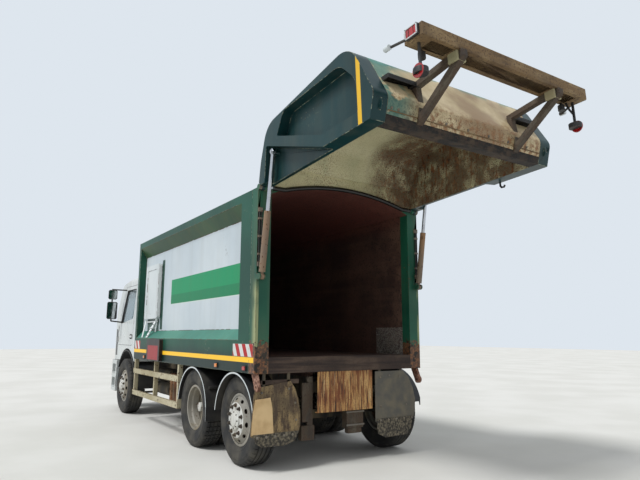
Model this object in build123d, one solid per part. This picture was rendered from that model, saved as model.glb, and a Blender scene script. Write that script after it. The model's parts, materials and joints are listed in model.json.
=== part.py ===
from build123d import *
import math
import os

# A three-axle refuse collection truck that stands with its tailgate raised.
# Lengths are in millimetres and angles in degrees. While it is modelled, X runs forward from
# the rear face of the body, Y to the left and Z up from the ground. At the end every piece is
# shifted along X, so that the origin lies on the ground under the middle of the bounding box.

# Body
HALF_W = 1250.0
SIDE_WALL = 175.0
INNER_W = HALF_W - SIDE_WALL
RECESS_D = 120.0
RECESS_Y = HALF_W - RECESS_D
BODY_L = 5000.0
RAIL_TOP = 1010.0
BODY_BOTTOM = RAIL_TOP + 66.0
FLOOR_TOP = BODY_BOTTOM + 179.0
FLOOR_T = 45.0
BEARERS = 9
BEARER_W = 80.0
SIDE_TOP = 3230.0
ROOF_RISE = 215.0
ROOF_T = 50.0
FRONT_WALL_T = 50.0
PILLAR_L = 150.0
RECESS_REAR_X = PILLAR_L + 300.0
RECESS_FRONT_X = BODY_L - 100.0
SKIRT_TOP = BODY_BOTTOM + 374.0
LEDGE_TOP = SKIRT_TOP + 130.0
PANEL_TOP = SIDE_TOP - 280.0
TOP_RAIL_BOTTOM = SIDE_TOP - 110.0

# Cab
CAB_BACK_X = BODY_L + 330.0
CAB_L = 1750.0
CAB_FRONT_X = CAB_BACK_X + CAB_L
CAB_HALF_W = HALF_W - 100.0
CAB_SILL = 1000.0
CAB_FLOOR = CAB_SILL + 250.0
CAB_FLOOR_T = 45.0
CAB_TOP = 2670.0
CAB_WALL = 55.0
CAB_WAIST_Z = CAB_SILL + 177.0
CAB_WAIST_OUT = 40.0
CAB_LEAN = 70.0
CAB_NOSE_Z = CAB_FLOOR + 350.0
CAB_RAKE = 330.0
CAB_BROW_DROP = 120.0
CAB_ROOF_CROWN = 8.0
CAB_ROOF_FRONT = 1100.0
CAB_MOUNT_X = (CAB_BACK_X + 90.0, CAB_FRONT_X - 300.0)
CAB_MOUNT_L = 100.0
WINDSCREEN_Z = (CAB_FLOOR + 390.0, CAB_TOP - 240.0)
WINDSCREEN_Y = CAB_HALF_W - 165.0
GLASS_T = 6.0
GLASS_FIT = 0.3

# Bumper and headlamps
BUMPER_FRONT_X = CAB_FRONT_X + 120.0
BUMPER_REAR_X = BUMPER_FRONT_X - 610.0
BUMPER_BOTTOM = 360.0
BUMPER_T = 60.0
BUMPER_CORNER_R = 260.0
HEADLAMP_Y = (CAB_HALF_W - 450.0, CAB_HALF_W - 70.0)
HEADLAMP_Z = (BUMPER_BOTTOM + 200.0, BUMPER_BOTTOM + 400.0)
STEP_X = (BUMPER_REAR_X + 80.0, BUMPER_REAR_X + 330.0)
STEP_Z = (BUMPER_BOTTOM + 70.0, BUMPER_BOTTOM + 350.0)
STEP_H = 200.0
STEP_D = 130.0

# Wheels and axles
TYRE_R = 520.0
TYRE_W = 292.0
TYRE_SHOULDER = 30.0
RIM_R = 286.0
RIM_W = 228.0
RIM_T = 12.0
FLANGE_H = 14.0
BEAD_GAP = 0.3
SINGLE_WHEEL_Y = HALF_W - 59.0 - TYRE_W / 2
TWIN_OUTER_Y = HALF_W - 29.0 - TYRE_W / 2
DISC_OFFSET = 146.0
DISC_T = 16.0
TWIN_OFFSET = DISC_OFFSET + DISC_T
HAND_HOLES = 10
HAND_HOLE_R = 21.0
HAND_HOLE_CIRCLE = 236.0
HUB_R = 112.0
HUB_CAP_R = 72.0
HUB_CAP_T = 25.0
DRUM_R = 205.0
DRUM_T = 15.0
FRONT_AXLE_X = CAB_BACK_X + 570.0
DRIVE_AXLE_X = 1930.0
TAG_AXLE_X = 545.0
AXLE_H = 110.0
KINGPIN_Y = SINGLE_WHEEL_Y - 215.0
KINGPIN_R = 22.0
SPINDLE_R = 42.0
SPINDLE_OUT = 150.0
PIN_CLEARANCE = 0.05
STEER_ARM_BACK = 190.0
STEER_ARM_T = 30.0
KNUCKLE_EAR_T = 45.0
KNUCKLE_GAP = 3.0
TIE_ROD_R = 20.0
TIE_END_H = 24.0
TIE_GAP = 2.0
STUD_R = 11.0

# Ladder frame and springs
RAIL_Y = 430.0
RAIL_FLANGE = 75.0
RAIL_H = 250.0
RAIL_T = 10.0
FRAME_REAR_X = 180.0
FRAME_FRONT_X = BUMPER_FRONT_X - 320.0
CROSS_L = 90.0
CROSS_INSET = 60.0
CROSS_X = (
    FRAME_REAR_X + 50.0,
    DRIVE_AXLE_X - 690.0,
    DRIVE_AXLE_X + 630.0,
    BODY_L - 1500.0,
    BODY_L - 500.0,
    FRAME_FRONT_X - 100.0,
)
SPRING_W = 80.0
SPRING_LEAF = 16.0
SPRING_BOW = 55.0
SPRING_EYE = 60.0
SPRINGS = (
    # axle's place, half length of the main leaf, leaves under it
    (FRONT_AXLE_X, 720.0, 2),
    (DRIVE_AXLE_X, 520.0, 3),
    (TAG_AXLE_X, 330.0, 2),
)
ENGINE_X = (CAB_BACK_X + 20.0, CAB_BACK_X + 1120.0)
ENGINE_Y = 330.0
ENGINE_Z = (600.0, CAB_FLOOR - 20.0)
ENGINE_FEET_X = (CAB_BACK_X + 170.0, CAB_BACK_X + 970.0)
SHAFT_Z = 760.0

# Access hatch on the left side, with the step below it
HATCH_X = (BODY_L - 1100.0, BODY_L - 350.0)
HATCH_Z = (LEDGE_TOP + 210.0, PANEL_TOP - 200.0)
HATCH_T = 60.0
HATCH_CORNER_R = 45.0
PANEL_GAP = 6.0
HATCH_AXIS_X = HATCH_X[1] + 20.0
HATCH_AXIS_Y = RECESS_Y + 42.0
HATCH_HINGE_Z = (HATCH_Z[0] + 170.0, HATCH_Z[1] - 170.0)
HATCH_PIN_R = 8.0
HATCH_KNUCKLE_R = 15.0
LADDER_X = (HATCH_X[0] + 130.0, HATCH_X[0] + 470.0)
LADDER_BAR_R = 14.0

# Tailgate, in its own frame: u runs down from the hinge and w to the rear when it is shut
HINGE_Z = SIDE_TOP
HINGE_R = 36.0
HINGE_PIN_R = 18.0
HINGE_ROOM = 6.0
HINGE_SIDE_GAP = 2.5
HINGE_Y = (HALF_W - 110.0, HALF_W - 74.0, HALF_W - 36.0, HALF_W)
RAISE_ANGLE = 93.2
GATE_GAP = 8.0
GATE_SKIN = 50.0
GATE_PLATE_T = 50.0
GATE_INNER_W = RECESS_Y - GATE_PLATE_T
GATE_FOOT_U = SIDE_TOP - BODY_BOTTOM - 34.0
GATE_CORNERS = (
    # u, w, corner radius
    (0.0, GATE_GAP, 0.0),
    (60.0, 280.0, 500.0),
    (215.0, 690.0, 280.0),
    (GATE_FOOT_U - 250.0, 856.0, 300.0),
    (GATE_FOOT_U + 70.0, 250.0, 120.0),
    (GATE_FOOT_U, GATE_GAP, 0.0),
)
GATE_RECESS = (
    # u, w, corner radius
    (455.0, 470.0, 25.0),
    (610.0, 715.0, 110.0),
    (GATE_FOOT_U - 420.0, 722.0, 220.0),
    (GATE_FOOT_U - 175.0, 470.0, 250.0),
    (GATE_FOOT_U - 165.0, 140.0, 20.0),
    (GATE_FOOT_U - 750.0, 140.0, 40.0),
)
GATE_TOP_CUT = (200.0, 262.0)
EDGE_BEAM_U = (GATE_FOOT_U - 110.0, GATE_FOOT_U + 30.0)
EDGE_BEAM_W = 85.0

# Lift cylinders and the bay that the tailgate leaves for them
CYLINDER_Y = HALF_W - 40.0
LIFT_FOOT_U = 1061.0
LIFT_FOOT_OUT = 52.0
LIFT_PIVOT = (-LIFT_FOOT_OUT, HINGE_Z - LIFT_FOOT_U)
LIFT_EYE_U = 294.0
LIFT_EYE_W = 343.0
CYLINDER_BAY = (
    # u, w, corner radius
    (LIFT_EYE_U - 144.0, -20.0, 0.0),
    (LIFT_EYE_U - 94.0, LIFT_EYE_W + 97.0, 25.0),
    (LIFT_FOOT_U + 324.0, 10.0, 0.0),
    (LIFT_FOOT_U + 324.0, -20.0, 0.0),
)
BARREL_R = 38.0
BARREL_BORE = 30.0
BARREL_L = 750.0
BARREL_END = 30.0
PISTON_T = 25.0
PISTON_GAP = 0.3
ROD_R = 22.5
ROD_L = 750.0
EYE_R = 36.0
EYE_PIN_R = 15.0
EYE_T = 40.0
EYE_NECK_R = 18.0
LUG_T = 15.0
LUG_GAP = 5.0

# Lock claws under the pillars, and the two oil hoses that are clipped to each pillar
CLAW_Z = BODY_BOTTOM - 146.0
CLAW_R = 48.0
CLAW_BORE_R = 18.0
CLAW_T = 40.0
CLAW_Y = HALF_W - 45.0
HOSE_R = 9.0
HOSE_Y = (HALF_W - 44.0, HALF_W - 18.0)
HOSE_OUT = 11.0
HOSE_U = (275.0, LIFT_FOOT_U - 145.0)
HOSE_CLIP_U = (380.0, 590.0, 800.0)
HOSE_CLIP_L = 26.0

# Lamp beam, its struts and the lamps, in the tailgate's frame
LAMP_BEAM_U = (GATE_FOOT_U + 380.0, GATE_FOOT_U + 600.0)
LAMP_BEAM_W = (530.0, 650.0)
LAMP_BEAM_Y = RECESS_Y + 20.0
LAMP_BEAM_T = 8.0
STRUT_Y = 680.0
STRUT_T = 70.0
STRUT_BAR = 55.0
STRUT_CORNERS = (
    # u, w
    (GATE_FOOT_U + 20.0, 60.0),
    (GATE_FOOT_U - 20.0, 480.0),
    (LAMP_BEAM_U[0], LAMP_BEAM_W[0]),
    (LAMP_BEAM_U[1] + 15.0, LAMP_BEAM_W[0]),
    (LAMP_BEAM_U[1] + 15.0, LAMP_BEAM_W[0] - 60.0),
)
FOOTSTEP_U = (GATE_FOOT_U - 60.0, GATE_FOOT_U + 55.0)
FOOTSTEP_W = (430.0, 475.0)
FOOTSTEP_Y = GATE_INNER_W - 20.0
LAMP_OUT = 30.0
MARKER_Y = HALF_W - 10.0
ROUND_LAMP_R = 65.0
ROUND_LAMP_IN = 70.0

# Doors
DOOR_GAP = 6.0
DOOR_REAR_X = CAB_BACK_X + 210.0
DOOR_FRONT_X = CAB_FRONT_X - 420.0
DOOR_Z = (CAB_FLOOR + 60.0, CAB_TOP - 170.0)
DOOR_CORNERS = (
    # x, z, corner radius
    (DOOR_REAR_X, DOOR_Z[0], 60.0),
    (DOOR_FRONT_X, DOOR_Z[0], 60.0),
    (DOOR_FRONT_X, DOOR_Z[0] + 490.0, 60.0),
    (DOOR_FRONT_X - 240.0, DOOR_Z[1], 70.0),
    (DOOR_REAR_X, DOOR_Z[1], 60.0),
)
DOOR_WINDOW = (
    # x, z, corner radius
    (DOOR_REAR_X + 80.0, DOOR_Z[0] + 520.0, 50.0),
    (DOOR_FRONT_X - 105.0, DOOR_Z[0] + 430.0, 50.0),
    (DOOR_FRONT_X - 330.0, DOOR_Z[1] - 70.0, 60.0),
    (DOOR_REAR_X + 80.0, DOOR_Z[1] - 70.0, 60.0),
)
DOOR_AXIS_X = DOOR_FRONT_X + 14.0
DOOR_HINGE_Z = (DOOR_Z[0] + 110.0, DOOR_Z[0] + 330.0)
DOOR_PIN_R = 7.0
DOOR_KNUCKLE_R = 12.0
DOOR_KNUCKLE_H = 80.0
DOOR_EAR_H = 17.0
HANDLE_X = (DOOR_REAR_X + 50.0, DOOR_REAR_X + 220.0)
HANDLE_Z = (DOOR_Z[0] + 145.0, DOOR_Z[0] + 190.0)

# Mirrors on the door, by their middles and sizes
MIRROR_OUT = 225.0
STALK_X = DOOR_FRONT_X - 190.0
MIRRORS = (
    # x, z, thickness, width, height
    (STALK_X, DOOR_Z[0] + 700.0, 100.0, 210.0, 360.0),
    (STALK_X, DOOR_Z[0] + 1030.0, 90.0, 180.0, 200.0),
)
MIRROR_TAPER = 12.0
MIRROR_STALK_Z = (DOOR_Z[0] + 485.0, DOOR_Z[1] - 50.0)
MIRROR_ARM_R = 14.0
MIRROR_FEET = (
    # x, drop from the stalk's end
    (DOOR_FRONT_X - 100.0, 30.0),
    (DOOR_FRONT_X - 275.0, 10.0),
)

# Seats, dashboard and steering wheel
DASH_X = (CAB_FRONT_X - 520.0, CAB_FRONT_X - 180.0)
DASH_Z = CAB_FLOOR + 450.0
DASH_HALF_W = CAB_HALF_W - 250.0
SEAT_X = CAB_BACK_X + 190.0
SEAT_Y = CAB_HALF_W - 590.0
SEAT_W = 480.0
SEAT_L = 520.0
SEAT_H = 330.0
SEAT_BACK_H = 640.0
STEERING_X = DASH_X[0] - 110.0
STEERING_Z = DASH_Z + 120.0
STEERING_R = 215.0
STEERING_TILT = 62.0

# Guards, flaps and small pieces under the body
SIDE_GUARD_X = (DRIVE_AXLE_X + 570.0, BODY_L - 30.0)
SIDE_GUARD_Z = (440.0, 820.0)
SIDE_GUARD_H = 90.0
SIDE_GUARD_T = 30.0
SIDE_GUARD_POST_X = (SIDE_GUARD_X[0] + 30.0, SIDE_GUARD_X[0] + 1200.0, SIDE_GUARD_X[1] - 70.0)
SIDE_GUARD_POST_W = 60.0
SIDE_GUARD_WALL = 6.0
GUARD_R = TYRE_R + 20.0
GUARD_T = 12.0
GUARD_LIP = 8.0
GUARD_LIP_W = 20.0
GUARD_ARM_R = 20.0
GUARD_ARM_H = 300.0
GUARD_LOW_Z = TYRE_R + 60.0
ARCH_R = 720.0
FRONT_GUARD_R = ARCH_R - 40.0
FRONT_GUARD_Z = (TYRE_R - 20.0, TYRE_R + 330.0)
MUDGUARDS = (
    # axle's place, inner radius, inner side, outer side, lowest point behind and in front
    (DRIVE_AXLE_X, GUARD_R, TWIN_OUTER_Y - 485.0, HALF_W, GUARD_LOW_Z, GUARD_LOW_Z),
    (TAG_AXLE_X, GUARD_R, SINGLE_WHEEL_Y - 155.0, HALF_W, GUARD_LOW_Z, GUARD_LOW_Z),
    (FRONT_AXLE_X, FRONT_GUARD_R, SINGLE_WHEEL_Y - 345.0, CAB_HALF_W + 10.0, *FRONT_GUARD_Z),
)
STRIP_FLAP_Z = 400.0
STRIP_FLAP_W = 300.0
FLAP_X = (0.0, 12.0)
FLAP_BAR_H = 40.0
PLATE_Z = 600.0
PLATE_X = (12.0, 20.0)
RED_BOX_X = (BODY_L - 1700.0, BODY_L - 1000.0)
RED_BOX_OUT = 60.0
TANK_X = (SIDE_GUARD_X[0] + 100.0, SIDE_GUARD_X[0] + 850.0)
TANK_Z = (470.0, 900.0)
TANK_OUT = HALF_W - 190.0
TANK_RIBS = 5
TANK_RIB_R = 48.0
FUEL_TANK_X = (SIDE_GUARD_X[0] + 400.0, SIDE_GUARD_X[0] + 1400.0)
FUEL_STRAP_T = 6.0
AIR_BOTTLE_X = (BODY_L - 950.0, BODY_L - 250.0)
AIR_BOTTLE_Y = RAIL_Y + 330.0
AIR_BOTTLE_R = 115.0


def block(x, y, z):
    """A box between two values on each axis."""
    size = (x[1] - x[0], y[1] - y[0], z[1] - z[0])
    return Pos((x[0] + x[1]) / 2, (y[0] + y[1]) / 2, (z[0] + z[1]) / 2) * Box(*size)


def around(middle, reach):
    """The two values at one distance on either side of a middle."""
    return (middle - reach, middle + reach)


def polygon(*points):
    return make_face(Polyline(*points, close=True))


def rounded(corners):
    """A face from corners given as two coordinates and a corner radius."""
    points = [(first, second) for first, second, radius in corners]
    radii = [radius for first, second, radius in corners]
    return make_face(FilletPolyline(*points, radius=radii, close=True))


def rounded_box(first, second, radius):
    """A rectangle with four equal rounded corners."""
    places = ((first[0], second[0]), (first[1], second[0]), (first[1], second[1]), (first[0], second[1]))
    return rounded([(a, b, radius) for a, b in places])


def across(face, y0, y1):
    """Extrude a face drawn in X and Z from y0 to y1."""
    plane = Plane(origin=(0, y1, 0), x_dir=(1, 0, 0), z_dir=(0, -1, 0))
    return extrude(plane * face, amount=y1 - y0)


def lengthwise(face, x0, x1, taper=0.0):
    """Extrude a face drawn in Y and Z from x0 to x1, drawing in by a taper."""
    plane = Plane(origin=(x0, 0, 0), x_dir=(0, 1, 0), z_dir=(1, 0, 0))
    return extrude(plane * face, amount=x1 - x0, taper=taper)


def upward(face, z0, z1):
    """Extrude a face drawn in X and Y from z0 to z1."""
    return extrude(Pos(0, 0, z0) * face, amount=z1 - z0)


def shaft(start, end, radius):
    """A round bar between two points."""
    direction = Vector(*end) - Vector(*start)
    ends = (Align.CENTER, Align.CENTER, Align.MIN)
    return Plane(origin=start, z_dir=direction) * Cylinder(radius, direction.length, align=ends)


def disc(x, z, y0, y1, radius):
    """A round bar along Y."""
    return shaft((x, y0, z), (x, y1, z), radius)


def post(x, y, z0, z1, radius):
    """A round bar along Z."""
    return shaft((x, y, z0), (x, y, z1), radius)


def joined(pieces):
    """One piece out of several."""
    pieces = list(pieces)
    whole = pieces[0]
    for piece in pieces[1:]:
        whole += piece
    return whole


def flipped(piece):
    """The same piece on the right-hand side."""
    return mirror(piece, about=Plane.XZ)


def turned(profile, x, y):
    """A ring round the Y axis through (x, y, tyre radius) from a profile of radius and offset."""
    face = polygon(*[(radius, offset) for radius, offset in profile])
    upright = Plane(origin=(0, 0, 0), x_dir=(1, 0, 0), z_dir=(0, 0, 1)) * face
    return Pos(x, y, TYRE_R) * revolve(upright, axis=Axis.Y, revolution_arc=360)


def both_sides(half):
    """A turned profile from its half on one side of the middle plane."""
    return (*half, *[(radius, -offset) for radius, offset in reversed(half)])


def gate_corner(u, w):
    """A point of the tailgate's frame, in X and Z with the tailgate shut."""
    return (-w, HINGE_Z - u)


def gate_face(corners):
    return rounded([(*gate_corner(u, w), radius) for u, w, radius in corners])


def gate_block(u, w, y):
    return block((-w[1], -w[0]), y, (HINGE_Z - u[1], HINGE_Z - u[0]))


def raised(piece):
    """Turn a tailgate piece from shut to the raised place where it stands."""
    return Pos(0, 0, HINGE_Z) * Rot(0, RAISE_ANGLE, 0) * Pos(0, 0, -HINGE_Z) * piece


def raised_point(u, w):
    """Where a point of the tailgate's frame lies in X and Z with the tailgate raised."""
    angle = math.radians(RAISE_ANGLE)
    x = -w * math.cos(angle) - u * math.sin(angle)
    z = HINGE_Z - u * math.cos(angle) + w * math.sin(angle)
    return (x, z)


def roof_arch(thickness):
    """The roof's curved cross-section between the side walls."""
    crown = SIDE_TOP + ROOF_RISE
    top = ThreePointArc((-INNER_W, SIDE_TOP), (0, crown), (INNER_W, SIDE_TOP))
    eave = SIDE_TOP - thickness
    low = ThreePointArc((-INNER_W, eave), (0, crown - thickness), (INNER_W, eave))
    left = Line((INNER_W, SIDE_TOP), (INNER_W, eave))
    right = Line((-INNER_W, SIDE_TOP), (-INNER_W, eave))
    return make_face([top, left, low, right])


def tyre(x, y):
    """A tyre with bulged walls and a flat tread, from its section on one side."""
    half = TYRE_W / 2
    bead = RIM_R + BEAD_GAP
    wall = TYRE_R - TYRE_SHOULDER - bead
    return turned(both_sides((
        (bead, RIM_W / 2 - RIM_T),
        (bead + wall * 0.35, half - 4),
        (bead + wall * 0.65, half),
        (TYRE_R - TYRE_SHOULDER, half - 10),
        (TYRE_R, half - TYRE_SHOULDER),
    )), x, y)


def hand_holes(x, y, offset):
    """The ring of round holes that are cut through a wheel's disc."""
    holes = []
    for step in range(HAND_HOLES):
        angle = math.tau * (step + 0.5) / HAND_HOLES
        place = (x + HAND_HOLE_CIRCLE * math.sin(angle), TYRE_R + HAND_HOLE_CIRCLE * math.cos(angle))
        holes.append(disc(*place, *sorted((y + offset * 0.5, y + offset * 1.2)), HAND_HOLE_R))
    return holes


def rim(x, y, outward):
    """A steel wheel whose dished disc stands out on one side: outward is 1 or -1 along Y."""
    half = RIM_W / 2
    barrel = turned(both_sides((
        (RIM_R, half - RIM_T + 1),
        (RIM_R + FLANGE_H, half),
        (RIM_R - RIM_T, half),
    )), x, y)
    face = DISC_OFFSET + DISC_T
    seat = RIM_R - RIM_T + 1
    plate = [(radius, outward * offset) for radius, offset in (
        (100.0, DISC_OFFSET),
        (195.0, DISC_OFFSET),
        (seat, half - 22),
        (seat, half - 4),
        (205.0, face),
        (100.0, face),
    )]
    dish = turned(plate, x, y)
    for hole in hand_holes(x, y, outward * DISC_OFFSET):
        dish -= hole
    return barrel + dish


def hub(x, inner, face, outer):
    """A hub bored for its spindle from the inner end, closed by a cap at the outer end."""
    bore = SPINDLE_R + PIN_CLEARANCE
    return turned((
        (bore, inner),
        (HUB_R, inner),
        (HUB_R, face),
        (HUB_CAP_R, outer),
        (0.0, outer),
        (0.0, outer - HUB_CAP_T),
        (bore, outer - HUB_CAP_T),
    ), x, 0.0)


def single_wheel(x):
    """Rim, brake drum and hub of a single wheel, its disc standing proud to the outside."""
    y = SINGLE_WHEEL_Y
    drum = (
        (HUB_R - 1, 90.0),
        (DRUM_R, 90.0),
        (DRUM_R, -60.0),
        (DRUM_R - DRUM_T, -60.0),
        (DRUM_R - DRUM_T, 90.0 - DRUM_T),
        (HUB_R - 1, 90.0 - DRUM_T),
    )
    wheel = rim(x, y, 1) + turned(drum, x, y)
    return wheel + hub(x, y - 80, y + DISC_OFFSET + DISC_T + 20, HALF_W - 5)


def twin_wheels():
    """Two rims with their discs back to back on one hub."""
    face = TWIN_OUTER_Y - TWIN_OFFSET
    wheels = rim(DRIVE_AXLE_X, TWIN_OUTER_Y, -1) + rim(DRIVE_AXLE_X, face - TWIN_OFFSET, 1)
    return wheels + hub(DRIVE_AXLE_X, face - 140, face + 60, TWIN_OUTER_Y + 60)


def chassis_frame():
    """Two channel rails with cross members and the leaf springs hung under them."""
    low = RAIL_TOP - RAIL_H
    inner = RAIL_Y - RAIL_FLANGE
    rail = block((FRAME_REAR_X, FRAME_FRONT_X), (inner, RAIL_Y), (low, RAIL_TOP))
    rail -= block(
        (FRAME_REAR_X - 1, FRAME_FRONT_X + 1),
        (inner - 1, RAIL_Y - RAIL_T),
        (low + RAIL_T, RAIL_TOP - RAIL_T),
    )
    frame = rail + flipped(rail)
    for x in CROSS_X:
        cross_y = (RAIL_T - RAIL_Y, RAIL_Y - RAIL_T)
        frame += block(around(x, CROSS_L / 2), cross_y, (low + CROSS_INSET, RAIL_TOP - CROSS_INSET))
    for centre, reach, leaves in SPRINGS:
        spring = leaf_spring(centre, reach, leaves)
        frame += spring + flipped(spring)
    return frame


def leaf_spring(centre, reach, leaves):
    """A bowed leaf spring between two hangers, with its shortest leaf on top of the axle."""
    seat = TYRE_R + AXLE_H / 2
    y = (RAIL_Y - SPRING_W, RAIL_Y)
    spring = None
    for leaf in range(leaves + 1):
        share = (leaf + 1) / (leaves + 1)
        half = reach * share
        bow = SPRING_BOW * share ** 2
        low = seat + leaf * SPRING_LEAF
        high = low + SPRING_LEAF + (1 if leaf < leaves else 0)
        bottom = ThreePointArc((centre - half, low + bow), (centre, low), (centre + half, low + bow))
        top = ThreePointArc((centre - half, high + bow), (centre, high), (centre + half, high + bow))
        ends = [Line((centre + side, low + bow), (centre + side, high + bow)) for side in (-half, half)]
        piece = across(make_face([bottom, ends[0], top, ends[1]]), *y)
        spring = piece if spring is None else spring + piece
    foot = seat + leaves * SPRING_LEAF + SPRING_BOW * (1 - SPRING_EYE / reach) ** 2
    for x in (centre - reach + SPRING_EYE / 2, centre + reach - SPRING_EYE / 2):
        spring += block(around(x, SPRING_EYE / 2), y, (foot, RAIL_TOP - RAIL_H + 1))
    return spring


def engine_block():
    engine = block(ENGINE_X, (-ENGINE_Y, ENGINE_Y), ENGINE_Z)
    for x in ENGINE_FEET_X:
        engine += block(around(x, 50.0), (RAIL_T - RAIL_Y, RAIL_Y - RAIL_T), (830.0, 900.0))
    return engine


def front_axle():
    """The beam with an eye for the kingpin at each end."""
    z = around(TYRE_R, AXLE_H / 2)
    spring_y = RAIL_Y + 210.0
    beam = block(around(FRONT_AXLE_X, 45.0), (-spring_y, spring_y), z)
    end = block(around(FRONT_AXLE_X, 40.0), (spring_y - 40, KINGPIN_Y), z)
    eye = post(FRONT_AXLE_X, KINGPIN_Y, *z, 55.0)
    bore = post(FRONT_AXLE_X, KINGPIN_Y, TYRE_R - AXLE_H, TYRE_R + AXLE_H, KINGPIN_R + PIN_CLEARANCE)
    side = end + eye - bore
    return beam + side + flipped(side)


def knuckle():
    """Left steering knuckle: kingpin, fork, spindle and steering arm."""
    x, y = FRONT_AXLE_X, KINGPIN_Y
    low = TYRE_R - AXLE_H / 2 - KNUCKLE_GAP
    high = TYRE_R + AXLE_H / 2 + KNUCKLE_GAP
    foot = low - KNUCKLE_EAR_T
    top = high + KNUCKLE_EAR_T
    fork = block(around(x, 50.0), (y + 62, y + 95), (foot, top))
    for z0, z1 in ((foot, low), (high, top)):
        fork += post(x, y, z0, z1, 50.0)
        fork += block(around(x, 50.0), (y, y + 70), (z0, z1))
    spindle = disc(x, TYRE_R, y + 80, SINGLE_WHEEL_Y + SPINDLE_OUT, SPINDLE_R)
    end_x = x - STEER_ARM_BACK
    arm_top = foot + STEER_ARM_T
    arm = upward(polygon((x + 20, y - 30), (x + 20, y + 30), (end_x, y + 22), (end_x, y - 22)), foot, arm_top)
    arm += post(end_x, y, foot, arm_top, 28.0)
    arm -= post(end_x, y, foot - 1, arm_top + 1, STUD_R + PIN_CLEARANCE)
    return fork + post(x, y, foot, top, KINGPIN_R) + spindle + arm


def tie_rod():
    """The track rod that keeps both steering arms together."""
    arm_foot = TYRE_R - AXLE_H / 2 - KNUCKLE_GAP - KNUCKLE_EAR_T
    z = arm_foot - TIE_GAP - TIE_END_H
    x = FRONT_AXLE_X - STEER_ARM_BACK
    rod = disc(x, z, -KINGPIN_Y, KINGPIN_Y, TIE_ROD_R)
    for side in (-KINGPIN_Y, KINGPIN_Y):
        rod += post(x, side, z - TIE_END_H, z + TIE_END_H, TIE_ROD_R + 6)
        rod += post(x, side, z, arm_foot + STEER_ARM_T, STUD_R)
    return rod


def drive_axle():
    """Banjo housing round the final drive, and the propeller shaft forward to the engine."""
    x = DRIVE_AXLE_X
    tube = AXLE_H / 2
    housing = turned(both_sides(((0.0, 560.0), (tube, 560.0), (tube, 290.0), (185.0, 95.0)))[1:-1], x, 0.0)
    housing += disc(x, TYRE_R, 30 - TWIN_OUTER_Y, TWIN_OUTER_Y - 30, SPINDLE_R)
    housing += shaft((x, 0, TYRE_R), (x + 250, 0, TYRE_R), 110.0)
    housing += shaft((x + 240, 0, TYRE_R), (x + 330, 0, TYRE_R + 12), 70.0)
    housing += shaft((x + 320, 0, TYRE_R + 11), (ENGINE_X[0] - 120, 0, SHAFT_Z), 48.0)
    return housing + shaft((ENGINE_X[0] - 140, 0, SHAFT_Z), (ENGINE_X[0], 0, SHAFT_Z), 62.0)


def tag_axle():
    half = AXLE_H / 2
    spring_y = RAIL_Y + 210.0
    beam = block(around(TAG_AXLE_X, half), (-spring_y, spring_y), around(TYRE_R, half))
    reach = SINGLE_WHEEL_Y + SPINDLE_OUT
    return beam + disc(TAG_AXLE_X, TYRE_R, -reach, reach, SPINDLE_R)


def body_floor():
    """Floor plate on cross bearers, with a sill over each frame rail."""
    x = (PILLAR_L, BODY_L - FRONT_WALL_T)
    floor = block(x, (-INNER_W, INNER_W), (FLOOR_TOP - FLOOR_T, FLOOR_TOP))
    for step in range(BEARERS):
        centre = x[0] + 60 + step * (x[1] - x[0] - 120) / (BEARERS - 1)
        floor += block(around(centre, BEARER_W / 2), (-INNER_W, INNER_W), (BODY_BOTTOM, FLOOR_TOP - FLOOR_T))
    for side in (-1, 1):
        sill_y = around(side * (RAIL_Y - RAIL_FLANGE / 2), RAIL_FLANGE / 2)
        floor += block((x[0] + 40, x[1]), sill_y, (RAIL_TOP, BODY_BOTTOM + 1))
    return floor


def side_profile():
    """Cross-section of a side wall: skirt, sloping ledge, set-back panel and top rail."""
    return polygon(
        (INNER_W, BODY_BOTTOM),
        (HALF_W, BODY_BOTTOM),
        (HALF_W, SKIRT_TOP),
        (RECESS_Y, LEDGE_TOP),
        (RECESS_Y, PANEL_TOP),
        (HALF_W, TOP_RAIL_BOTTOM),
        (HALF_W, SIDE_TOP),
        (INNER_W, SIDE_TOP),
    )


def body_side():
    """Left side wall: the profile between a rear and a front post of full width."""
    wall = lengthwise(side_profile(), PILLAR_L, BODY_L)
    full = ((INNER_W, HALF_W), (BODY_BOTTOM, SIDE_TOP))
    return wall + block((PILLAR_L, RECESS_REAR_X), *full) + block((RECESS_FRONT_X, BODY_L), *full)


def body_roof():
    return lengthwise(roof_arch(ROOF_T), PILLAR_L, BODY_L - FRONT_WALL_T)


def body_front_wall():
    arch = ThreePointArc((INNER_W, SIDE_TOP), (0, SIDE_TOP + ROOF_RISE), (-INNER_W, SIDE_TOP))
    sides = Polyline((-INNER_W, SIDE_TOP), (-INNER_W, BODY_BOTTOM), (INNER_W, BODY_BOTTOM), (INNER_W, SIDE_TOP))
    return lengthwise(make_face([arch, sides]), BODY_L - FRONT_WALL_T, BODY_L)


def rear_frame():
    """Rear pillars, floor beam and arched header, with what the tailgate needs on each side."""
    frame = block((0, PILLAR_L), (-INNER_W, INNER_W), (BODY_BOTTOM, FLOOR_TOP))
    frame += lengthwise(roof_arch(ROOF_T + 10), 0, PILLAR_L)
    pillar = block((0, PILLAR_L), (INNER_W, HALF_W), (BODY_BOTTOM, SIDE_TOP))
    pillar += hinge_ears() + lift_lugs() + lock_claw() + pillar_hoses()
    return frame + pillar + flipped(pillar) - hinge_pockets()


def hinge_ears():
    """Two ears and a pin for the tailgate's knuckle."""
    ears = disc(0, HINGE_Z, HINGE_Y[0], HINGE_Y[1], HINGE_R)
    ears += disc(0, HINGE_Z, HINGE_Y[2], HINGE_Y[3], HINGE_R)
    return ears + disc(0, HINGE_Z, HINGE_Y[0], HINGE_Y[3], HINGE_PIN_R)


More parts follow.
